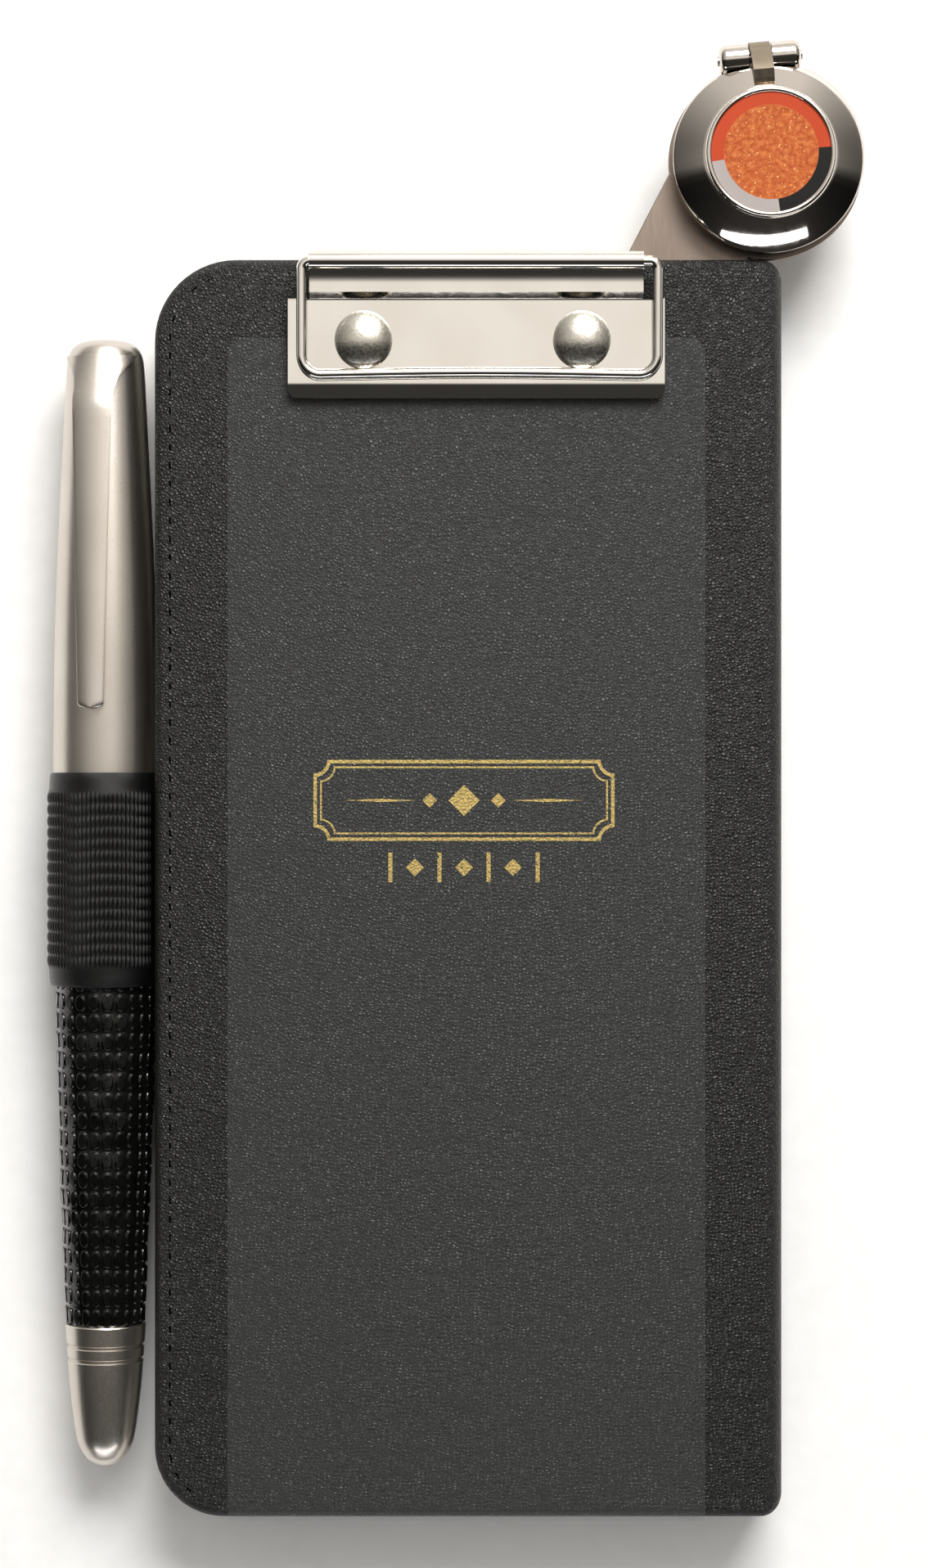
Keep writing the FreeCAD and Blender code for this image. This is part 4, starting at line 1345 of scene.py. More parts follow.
@dataclass
class FoilStamp:
    """Plain gold-foil decoration on the front cover: a notched double frame over a row of bars."""

    foil_t: float = 0.000012
    frame_w: float = 0.0368
    frame_h: float = 0.0099
    outer_rule: float = 0.00042
    inner_rule: float = 0.00022
    rule_gap: float = 0.00038
    notch: float = 0.0017
    row_w: float = 0.018
    row_h: float = 0.0036
    bar_w: float = 0.0005
    frame_y: float = 0.01075
    row_y: float = 0.00255
    bars: int = 7
    centre_x: float = -0.0006
    large_r: float = 0.0019
    small_x: float = 0.0042
    small_r: float = 0.0009
    dash_x: float = 0.0058
    dash_trim: float = 0.0014
    dash_half: float = 0.0002

    def spot(self, y: float) -> Vector:
        """A point of the stamp's centre line on the cover's face."""
        cover = Extent.of("front_leather")
        return Vector((self.centre_x, cover.middle.y + y, cover.high.z))

    def rule(self, inset: float, width: float) -> Object:
        """One closed line of the frame.

        Args:
            inset: how far its outer edge lies inside the frame's outline.
            width: the line's width.

        Returns:
            The thin ring.
        """
        half_w, half_h = self.frame_w / 2 - inset, self.frame_h / 2 - inset
        piece = trace("rule", notched(self.spot(self.frame_y), half_w, half_h, self.notch), closed=True)
        with editing(piece):
            take_all()
            bpy.ops.mesh.edge_face_add()
            bpy.ops.mesh.select_mode(type="FACE")
            take_all()
            bpy.ops.mesh.inset(thickness=width, depth=0)
            bpy.ops.mesh.delete(type="FACE")
            take_all()
            extrude(Z * self.foil_t)
            true_normals()
        return piece

    def lozenge(self, centre: Vector, half_w: float, half_h: float) -> Object:
        """A small filled diamond.

        Args:
            centre: its middle.
            half_w: half its width.
            half_h: half its height.

        Returns:
            The thin diamond.
        """
        corners = [centre + X * half_w, centre + Y * half_h, centre - X * half_w, centre - Y * half_h]
        return prism("lozenge", corners, Z * self.foil_t)

    def make(self) -> None:
        """Stamps the frame and the row of bars."""
        outer = self.rule(0, self.outer_rule)
        inner = self.rule(self.outer_rule + self.rule_gap, self.inner_rule)
        middle = self.spot(self.frame_y)
        reach = self.frame_w / 2 - 4 * self.notch
        centre = [self.lozenge(middle, self.large_r, self.large_r)]
        dash_w = reach / 2 - self.dash_trim
        for side in (-1, 1):
            centre.append(self.lozenge(middle + X * side * self.small_x, self.small_r, self.small_r))
            dash_middle = middle + X * side * (self.dash_x + reach / 2 - self.dash_trim)
            centre.append(self.lozenge(dash_middle, dash_w, self.dash_half))
        fit(join("foil_frame", [outer, inner, *centre]), "front_cover", "black_leather", FOIL)
        row = self.spot(self.row_y)
        pitch = self.row_w / (self.bars - 1)
        marks = []
        for index in range(self.bars):
            place = row + X * (index * pitch - self.row_w / 2)
            if index % 2:
                marks.append(self.lozenge(place, self.row_h * 0.3, self.row_h * 0.3))
            else:
                half = Vector((self.bar_w / 2, self.row_h / 2, 0))
                marks.append(block("bar", place - half, place + half + Z * self.foil_t))
        fit(join("foil_row", marks), "front_cover", "black_leather", FOIL)


@dataclass
class Booklet:
    """The stapled leaves, their card and the leather panels that hold card and indicator."""

    leaf_t: float = 0.00012
    leaf_pitch: float = 0.0002
    corner_r: float = 0.003
    middle_gap: float = 0.00032
    creep: float = 0.00045
    trim: float = 0.0002
    edge: float = 0.00018

    def stack(self, name: str, node: str, seed: int) -> Object:
        """Separate leaves of one half of the booklet.

        Args:
            name: the piece's name.
            node: the CAD block that they stand for.
            seed: sets how unevenly they lie.

        Returns:
            The joined leaves.
        """
        box = Extent.of(node)
        low, high = box.low.copy(), box.high.copy()
        if name.startswith("rear"):
            high.z -= self.middle_gap
        else:
            low.z += self.middle_gap
        chance = random.Random(seed)
        count = int((high.z - low.z) / self.leaf_pitch)
        leaves = []
        for index in range(count):
            z = low.z + index * (high.z - low.z - self.leaf_t) / (count - 1)
            left = low.x + self.creep * chance.random()
            trim = self.trim * chance.random()
            outline = rounded([Vector((high.x, high.y - trim, z)), Vector((left, high.y - trim, z)),
                               Vector((left, low.y + trim, z)), Vector((high.x, low.y + trim, z))],
                              (self.corner_r, self.corner_r), 5)
            leaves.append(prism("leaf", outline, Z * self.leaf_t))
        return smoothed(join(name, leaves))

    def panel(self, name: str, node: str, body: str) -> None:
        """A leather panel with soft edges.

        Args:
            name: the piece's name.
            node: the CAD node it stands for.
            body: the body it moves with.
        """
        piece = edged(from_node(node, name), self.edge)
        fit(piece, body, "black_leather", LEATHER, node)

    def make(self) -> None:
        """Makes the leaves and panels and dresses the rest."""
        fit(self.stack("rear_pages", "rear_leaves", 4), "back_cover", "paper", PAPER, "rear_leaves")
        fit(self.stack("front_pages", "front_leaves", 9), "front_leaves", "paper", PAPER, "front_leaves")
        self.panel("card_pocket", "back_pocket", "back_cover")
        self.panel("indicator_pocket", "tongue_pocket", "front_cover")
        dress("back_card", CARD)
        dress("staples", STEEL_WIRE)


@dataclass
class BailClip:
    """Nickel clip: rocking jaw with a rolled back edge, wire bail and two domed rivets."""

    metal_t: float = 0.0007
    corner_r: float = 0.002
    roll_r: float = 0.0012
    step_y: float = 0.00445
    step_run: float = 0.0009
    step_rise: float = 0.00115
    bend_y: float = 0.01465
    roll_w: float = 0.0406
    wire_r: float = 0.00065
    bar_corner_r: float = 0.00235
    top_corner_r: float = 0.001
    bar_bow: float = 0.0003
    axle: float = 0.006
    head_r: float = 0.0035
    dome_h: float = 0.0012
    hole_r: float = 0.0026
    hole_reach: float = 0.002
    shank_r: float = 0.002
    tail_r: float = 0.0028
    jaw: Extent = field(default_factory=lambda: Extent.of("clip_plate"))

    def section(self) -> Chain:
        """Mid-line of the jaw's sheet in the plane across it, from the lip to the end of the roll.

        Returns:
            The line's points.
        """
        half = self.metal_t / 2
        roll_y, roll_z = self.jaw.high.y - self.roll_r, self.jaw.high.z - self.roll_r
        flat = roll_z - 0.002 + half
        lip_y, bend_y = self.jaw.low.y + half, roll_y - self.bend_y
        step_y = roll_y - self.step_y
        mid_r = self.roll_r - half
        drop = self.jaw.low.z + half + 0.00002
        points = [(lip_y, drop), (bend_y - 0.0003, flat - 0.00004), (bend_y - 0.0001, flat - 0.00001),
                  (bend_y + 0.0002, flat), (step_y - 0.0002, flat), (step_y + 0.0001, flat + 0.00004),
                  (step_y + 0.35 * self.step_run, flat + 0.14 * self.step_rise),
                  (step_y + self.step_run, flat + self.step_rise)]
        band_y, band_z = points[-1]
        for share in (0.2, 0.45, 0.7, 0.9):
            lift = (roll_z - band_z) * share ** 2.4
            points.append((band_y + (roll_y - mid_r - band_y) * (1 - (1 - share) ** 1.6), band_z + lift))
        roll = arc_points(Vector((0, roll_y, roll_z)), mid_r, 180, -125, 22, Y, Z)
        return [Vector((0, y, z)) for y, z in points] + roll

    def plate(self) -> Object:
        """The jaw: one sheet, bent, stepped and rolled, with holes over the rivets.

        Returns:
            The jaw.
        """
        piece = trace("clip_jaw_plate", self.section())
        left, right = self.jaw.low.x, self.jaw.high.x
        wing = (right - left - self.roll_w) / 2
        step_y = self.jaw.high.y - self.roll_r - self.step_y + 0.0002
        with editing(piece):
            bpy.ops.mesh.select_mode(type="EDGE")
            take_all()
            bpy.ops.transform.translate(value=(left, 0, 0))
            for width in (wing, self.roll_w, wing):
                extrude(X * width)
            pick(Element.FACE, lambda p, n: p.y > step_y and not left + wing < p.x < right - wing)
            bpy.ops.mesh.delete(type="FACE")
            pick(Element.VERT, lambda p, n: near(p.y, self.jaw.low.y + self.metal_t / 2)
                 and (near(p.x, left) or near(p.x, right)))
            bpy.ops.mesh.bevel(offset=self.corner_r * 0.55, segments=5, affect="VERTICES")
        work(piece, "SOLIDIFY", thickness=self.metal_t * 0.9, offset=0, use_even_offset=True)
        up = Z * self.hole_reach
        holes = [rod_blank("hole", point - up, point + up, self.hole_r) for point in self.rivet_spots()]
        return edged(cut_by(piece, *holes), 0.0001, 2, 38)

    def rivet_spots(self) -> list[Vector]:
        """Seat of each rivet's head.

        Returns:
            Two points, left and right.
        """
        box = Extent.of("clip_rivets")
        z = box.high.z - self.dome_h
        return [Vector((x, box.middle.y, z)) for x in (box.low.x + self.head_r, box.high.x - self.head_r)]

    def rivets(self) -> Object:
        """Two domed rivets with shank and clinched tail.

        Returns:
            Both rivets as one piece.
        """
        tail = Extent.of("clip_rivets").low.z
        ball = (self.head_r ** 2 + self.dome_h ** 2) / (2 * self.dome_h)
        made = []
        for spot in self.rivet_spots():
            centre = spot + Z * (self.dome_h - ball)
            edge = math.degrees(math.asin(self.head_r / ball))
            dome = arc_points(centre, ball, 90, 90 - edge + 1.5, 12, X, Z)
            rim = [spot + X * self.head_r + Z * 0.00005, spot + X * (self.head_r - 0.0001) - Z * 0.00001]
            shank = [Vector((spot.x + r, spot.y, z)) for r, z in
                     ((self.shank_r, spot.z), (self.shank_r, tail + 0.00035), (self.tail_r, tail + 0.00035),
                      (self.tail_r, tail + 0.0001), (self.tail_r - 0.0002, tail), (0, tail))]
            made.append(lathe("rivet", dome + rim + shank, spot, Z, 56))
        return smoothed(join("rivets", made))

    def bail(self) -> Object:
        """The wire bail with its slightly bowed cross-bar.

        Returns:
            The wire.
        """
        box = Extent.of("clip_bail")
        left, right = box.low.x + self.wire_r, box.high.x - self.wire_r
        roll_y, roll_z = self.jaw.high.y - self.roll_r, self.jaw.high.z - self.roll_r
        bar_y, bar_z = box.low.y + self.wire_r, box.low.z + self.wire_r
        inner = (right - left) / 2 - self.axle
        middle = (left + right) / 2
        corners = [(middle - inner, roll_y, roll_z), (left, roll_y, roll_z), (left, bar_y, bar_z),
                   (right, bar_y, bar_z), (right, roll_y, roll_z), (middle + inner, roll_y, roll_z)]
        line = rounded([Vector(c) for c in corners],
                       (self.top_corner_r, self.bar_corner_r, self.bar_corner_r, self.top_corner_r), 9)
        half = (right - left) / 2
        straight = [p for p in line if near(p.y, bar_y, 0.00003)]
        at = line.index(straight[-1]) if straight[0].x > straight[-1].x else line.index(straight[0]) + 1
        bowed = [Vector((middle + half * s, bar_y, bar_z)) for s in (-0.7, -0.5, -0.25, 0, 0.25, 0.5, 0.7)]
        line = line[:at] + bowed + line[at:]
        for point in line:
            if point.y < bar_y + self.bar_corner_r:
                share = 1 - ((point.x - middle) / half) ** 2
                point.y += self.bar_bow * max(0.0, share) ** 1.5
        return smoothed(wire("clip_wire", line, self.wire_r), 60)

    def make(self) -> None:
        """Makes the whole clip."""
        fit(self.plate(), "clip_jaw", "clip_nickel", NICKEL, "clip_plate")
        fit(self.bail(), "bail", "clip_nickel", NICKEL, "clip_bail")
        fit(self.rivets(), "front_cover", "clip_nickel", HAMMERED, "clip_rivets")
        dress("rivet_washers", TURNED)


@dataclass
class ClearCover:
    """The clear plastic sheet over the front cover."""

    edge: float = 0.00012

    def make(self) -> None:
        """A soft-edged copy of the bent sheet."""
        piece = edged(from_node("clear_sheet", "clear_film"), self.edge, 2, 30)
        fit(piece, "clear_sheet", "clear_plastic", SHEETING, "clear_sheet")


@dataclass
class Pen:
    """Capped pen: satin cap and clip, scale-embossed wrap, turned end and the parts inside."""

    steps: int = 72
    wall: float = 0.0009
    cavity_top: float = 0.044
    liner_top: float = 0.034
    scale_rows: int = 21
    scale_columns: int = 22
    scale_gap: float = 0.0001
    scale_rise: float = 0.00024
    wrap_t: float = 0.0006
    clip_t: float = 0.0009
    clip_corner: float = 0.0007
    clip_lean: float = 8.5
    clip_root: float = 0.0655
    scale_wander: float = 0.00022
    wrap_core: float = 0.004
    grooves: Sequence[float] = (-0.0584, -0.0567)
    groove_half: float = 0.00028
    grip_rings: Sequence[float] = (0.006, 0.0085, 0.011)
    refill_bore: float = 0.0015
    clip_widths: Sequence[tuple[float, float]] = ((0.0, 0.0044), (0.0006, 0.0042), (0.0016, 0.00345),
                                                  (0.0029, 0.0028), (0.0046, 0.0025), (0.02, 0.00215),
                                                  (0.05, 0.0015))
    crown: Sequence[tuple[float, float]] = ((0.0156, 1.0), (0.0288, 0.977), (0.039, 0.931), (0.0491, 0.862),
                                            (0.0593, 0.782), (0.0644, 0.738), (0.0662, 0.68), (0.0672, 0.55),
                                            (0.0677, 0.3), (0.0678, 0.0))
    taper: Sequence[tuple[float, float]] = ((-0.0541, 0.769), (-0.0423, 0.838), (-0.0322, 0.9),
                                            (-0.022, 0.938), (-0.0139, 0.969), (-0.0031, 0.985))
    cone: Sequence[tuple[float, float]] = ((-0.0718, 0.0), (-0.0717, 0.14), (-0.0714, 0.25),
                                           (-0.0708, 0.369), (-0.0699, 0.46), (-0.0687, 0.538),
                                           (-0.0667, 0.594), (-0.0626, 0.672), (-0.0587, 0.723))
    cap: Extent = field(default_factory=lambda: Extent.of("pen_cap"))

    def __post_init__(self) -> None:
        """Works out the pen's axis and its largest radius."""
        self.radius = self.cap.size.x / 2
        self.axis = Vector((self.cap.middle.x, 0, self.cap.middle.z))

    def at(self, y: float, share: float) -> Vector:
        """A profile point over the pen's axis."""
        return self.axis + Y * y + Z * share * self.radius

    def share_at(self, y: float) -> float:
        """The cap's outline as a share of its radius at a height.

        Args:
            y: height along the pen's axis.

        Returns:
            The share, and 1 below the crown.
        """
        line = flowing(self.crown, 4)
        for (y0, s0), (y1, s1) in zip(line, line[1:]):
            if y0 <= y <= y1:
                return s0 + (s1 - s0) * (y - y0) / (y1 - y0)
        return 1.0

    def turned(self, name: str, profile: Chain, closed: bool = False, steps: int | None = None) -> Object:
        """Spins a profile about the pen's axis.

        Args:
            name: the piece's name.
            profile: the outline's points.
            closed: whether it is a closed loop.
            steps: how many faces go round.

        Returns:
            The spun form.
        """
        return lathe(name, profile, self.axis, Y, steps or self.steps, closed)

    def cap_shell(self) -> Object:
        """The cap with its cavity and a rolled mouth.

        Returns:
            The cap.
        """
        mouth = self.cap.low.y
        outer = [self.at(y, s) for y, s in reversed(flowing(self.crown, 4))]
        inner = (self.radius - self.wall) / self.radius
        nose = inner - 0.18
        rim = [self.at(mouth + 0.00025, 1), self.at(mouth + 0.00008, 0.992), self.at(mouth, 0.975),
               self.at(mouth, inner + 0.01), self.at(mouth + 0.0002, inner)]
        cavity = [self.at(self.liner_top, inner), self.at(self.liner_top, nose),
                  self.at(self.cavity_top, nose), self.at(self.cavity_top, 0)]
        return smoothed(self.turned("cap_shell", outer + rim + cavity), 30)

    def clip(self) -> Object:
        """Pocket clip whose shoulders flow out of the cap's crown.

        Returns:
            The clip.
        """
        root, tip = self.clip_root, Extent.of("pen_clip").low.y
        top_z = Extent.of("pen_clip").high.z
        bpy.ops.mesh.primitive_grid_add(x_subdivisions=12, y_subdivisions=60, size=1)
        piece = settle("cap_clip")
        length = root - tip
        corner = self.clip_corner

        def half_width(down: float) -> float:
            """Half the clip's width at a distance down from its root, with a rounded tip.

            Args:
                down: distance from the root.

            Returns:
                Half the width.
            """
            width = self.clip_widths[-1][1]
            for (d0, w0), (d1, w1) in zip(self.clip_widths, self.clip_widths[1:]):
                if d0 <= down <= d1:
                    width = w0 + (w1 - w0) * (down - d0) / (d1 - d0)
            short = max(0.0, corner - (length - down))
            return width - corner + math.sqrt(max(0.0, corner ** 2 - short ** 2))

        def laid(point: Vector) -> Vector:
            """Lays a point of the flat grid on the crown and out along the straight bar.

            Args:
                point: a point of the grid, half a unit each way.

            Returns:
                Its place on the pen.
            """
            share = min(1.0, max(0.0, 0.5 - point.y))
            down = length * (share ** 1.4 if share < 0.2 else 1 - (1 - share) ** 1.5 * 1.2508)
            y = root - down
            x = 2 * point.x * half_width(down)
            round_r = self.share_at(y) * self.radius + 0.0006
            hugging = math.sqrt(max(0.0, round_r ** 2 - x ** 2))
            bar = 0.782 * self.radius + 0.0019
            bar += (top_z - self.axis.z - bar) * down / length - 0.0004 * (2 * point.x) ** 2
            lift = min(1.0, down / 0.006) ** 1.5
            return Vector((self.axis.x + x, y, self.axis.z + hugging + (bar - hugging) * lift))

        reshape(piece, laid)
        with editing(piece):
            take_all()
            bpy.ops.mesh.normals_make_consistent(inside=False)
        if piece.data.polygons[len(piece.data.polygons) // 2].normal.z < 0:
            piece.data.flip_normals()
        work(piece, "SOLIDIFY", thickness=self.clip_t, offset=-1, use_even_offset=False)
        edged(piece, 0.00012, 2, 50)

        def leaned(point: Vector) -> Vector:
            """Turns a point round the pen's axis, more and more over the shoulders.

            Args:
                point: a point of the upright clip.

            Returns:
                Its place on the leaning clip.
            """
            share = min(1.0, max(0.0, (root - point.y) / 0.005))
            lean = Matrix.Rotation(math.radians(-self.clip_lean * (0.4 + 0.6 * share)), 3, "Y")
            centre = self.axis + Y * point.y
            return centre + lean @ (point - centre)

        return reshape(piece, leaned)

    def wrap(self) -> Object:
        """Leather wrap with rows of raised scales.

        Returns:
            The wrap.
        """
        rows = [self.taper[0][0] + (self.taper[-1][0] - self.taper[0][0]) * k / self.scale_rows
                for k in range(self.scale_rows + 1)]
        line = flowing(self.taper, 6)

        def share(y: float) -> float:
            """The wrap's outline as a share of the pen's radius.

            Args:
                y: height along the pen's axis.

            Returns:
                The share.
            """
            for (y0, s0), (y1, s1) in zip(line, line[1:]):
                if y <= y1 + HAIR:
                    return s0 + (s1 - s0) * (y - y0) / (y1 - y0)
            return line[-1][1]

        sunk = (self.scale_rise + 0.00004) / self.radius
        outer = [self.at(y, share(y) - sunk) for y in rows]
        inner = [self.at(y, share(y) - sunk - self.wrap_t / self.radius) for y in (rows[-1], rows[0])]
        piece = self.turned("scaled_wrap", outer + inner, closed=True, steps=self.scale_columns)
        low, high = rows[0] + HAIR, rows[-1] - HAIR
        with editing(piece):
            pick(Element.VERT, lambda p, n: low < p.y < high
                 and (p - self.axis - Y * p.y).length > self.wrap_core)
            bpy.ops.transform.vertex_random(offset=self.scale_wander, uniform=0.0, normal=0.0, seed=7)
            pick(Element.FACE, lambda p, n: abs(n.y) < 0.5 and n.dot(p - self.axis - Y * p.y) > 0)
            bpy.ops.mesh.inset(thickness=self.scale_gap, depth=0, use_individual=True)
            bpy.ops.mesh.inset(thickness=self.scale_gap * 0.6, depth=self.scale_rise, use_individual=True)
            bpy.ops.mesh.inset(thickness=self.scale_gap * 0.8, depth=0.0, use_individual=True)
        return subdivided(piece, 2)

    def end(self) -> Object:
        """Turned end cone with two fine grooves.

        Returns:
            The cone.
        """
        line = [self.at(y, s) for y, s in flowing(self.cone, 3)]
        half = self.groove_half
        for groove in self.grooves:
            for offset, depth in ((-half, 0), (-0.0001, 0.03), (0.0001, 0.03), (half, 0)):
                edge = 0.723 + (0.769 - 0.723) * (groove + offset + 0.0587) / 0.0046
                line.append(self.at(groove + offset, edge - depth))
        line += [self.at(y, s) for y, s in ((-0.05425, 0.7675), (-0.0541, 0.755), (-0.0541, 0.32),
                                            (-0.06, 0.32), (-0.06, 0))]
        return smoothed(self.turned("end_cone", line), 30)

    def section(self) -> Object:
        """Grip section and nose round the refill.

        Returns:
            The grip section.
        """
        box = Extent.of("pen_section")
        radius, top = box.size.x / 2, box.high.y
        base, seat = box.low.y, self.cap.low.y - 0.0001
        bore = self.refill_bore
        outer = [(base, radius), (seat, radius), (seat + 0.0002, radius), (0.004, radius * 0.96),
                 (0.013, radius * 0.87), (0.025, radius * 0.77), (0.030, radius * 0.72),
                 (0.035, radius * 0.6), (top - 0.0012, bore * 1.7), (top, bore * 1.35)]
        line = [self.axis + Y * y + Z * r for y, r in [*outer, (top, bore), (base, bore)]]
        piece = self.turned("grip_section", line, closed=True)
        with editing(piece):
            for y in self.grip_rings:
                slice_at((0, y, 0), Y)
                pick(Element.EDGE, lambda p, way: near(p.y, y) and (p - self.axis - Y * y).length > 2 * bore)
                bevel(0.0003, 1)
                pick(Element.FACE, lambda p, n: near(p.y, y, 0.0001)
                     and (p - self.axis - Y * y).length > 2 * bore)
                bpy.ops.mesh.inset(thickness=0.0001, depth=-0.0002)
        return smoothed(piece, 35)

    def make(self) -> None:
        """Makes the pen's outside and dresses its inside."""
        fit(self.cap_shell(), "pen_cap", "cap_metal", SATIN, "pen_cap")
        fit(self.clip(), "pen_clip", "cap_metal", SATIN, "pen_clip")
        fit(self.wrap(), "pen", "pen_leather", SCALES, "barrel_wrap")
        fit(self.end(), "pen", "cap_metal", SATIN, "barrel_end")
        ring = Extent.of("barrel_ring")
        line = [self.at(y, s) for y, s in ((ring.low.y, 0.97), (ring.low.y + 0.0002, 0.984),
                                           (ring.middle.y, 0.984), (ring.high.y - 0.0002, 0.984),
                                           (ring.high.y, 0.97), (ring.high.y, 0.73), (ring.low.y, 0.73))]
        fit(smoothed(self.turned("mouth_ring", line, closed=True)), "pen", "cap_metal", SATIN, "barrel_ring")
        fit(self.section(), "pen", "pen_plastic", PLASTIC, "pen_section")
        dress("cap_liner", PLASTIC)
        dress("pen_barrel", TURNED)
        dress("pen_refill", BRASS)
        dress("refill_spring", STEEL_WIRE)


@dataclass
class PenLoop:
    """Ribbed elastic band round the pen, its doubled end sewn into the back cover."""

    rise: float = 0.0003
    band_t: float = 0.00045
    rib: float = 0.00056
    rows: int = 15
    selvedge: float = 0.0025
    rib_gap: float = 0.00011
    tail_low: float = 0.0007
    tail_high: float = 0.0021
    cover_gap: float = 0.00025
    loop: Extent = field(default_factory=lambda: Extent.of("pen_loop"))

    def path(self) -> Chain:
        """The band's outer line across the pen: tail, round the pen and back to the tail.

        Returns:
            The line's points.
        """
        pen = Extent.of("pen_cap")
        radius = (pen.middle.x - self.loop.low.x) - self.rise
        centre = Vector((pen.middle.x, 0, pen.middle.z))
        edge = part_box("back_leather")[0].x - self.cover_gap
        result = []
        turns = []
        for z, sign in ((self.tail_high, 1), (self.tail_low, -1)):
            foot = Vector((edge, 0, z))
            away = foot - centre
            angle = math.degrees(math.atan2(away.z, away.x))
            turns.append(angle + sign * math.degrees(math.acos(radius / away.length)))
        count = round(math.radians(360 + turns[1] - turns[0]) * radius / self.rib)
        result.append(Vector((self.loop.high.x, 0, self.tail_high)))
        result.append(Vector((edge, 0, self.tail_high)))
        result += arc_points(centre, radius, turns[0], 360 + turns[1], count, X, Z)
        result += [Vector((edge, 0, self.tail_low)), Vector((self.loop.high.x, 0, self.tail_low))]
        return result

    def make(self) -> None:
        """Weaves the band: rows of small ribs between two plain selvedges."""
        low, high = self.loop.low.y, self.loop.high.y
        piece = trace("elastic_loop", [p + Y * low for p in self.path()])
        row = (high - low - 2 * self.selvedge) / self.rows
        with editing(piece):
            bpy.ops.mesh.select_mode(type="EDGE")
            take_all()
            for width in [self.selvedge] + [row] * self.rows + [self.selvedge]:
                extrude(Y * width)
            take_all()
            bpy.ops.mesh.normals_make_consistent(inside=False)
        if max(piece.data.polygons, key=lambda f: f.center.z).normal.z < 0:
            piece.data.flip_normals()
        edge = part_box("back_leather")[0].x
        work(piece, "SOLIDIFY", thickness=self.band_t, offset=-1, use_even_offset=True)
        pen = Extent.of("pen_cap").middle
        with editing(piece):
            pick(Element.FACE, lambda p, n: p.x < edge - 2 * self.cover_gap
                 and low + self.selvedge < p.y < high - self.selvedge
                 and n.dot(Vector((p.x - pen.x, 0, p.z - pen.z))) > 0.001 and abs(n.y) < 0.5)
            bpy.ops.mesh.inset(thickness=self.rib_gap, depth=self.rise, use_individual=True)
        fit(subdivided(piece, 1), "back_cover", "elastic", ELASTIC, "pen_loop")


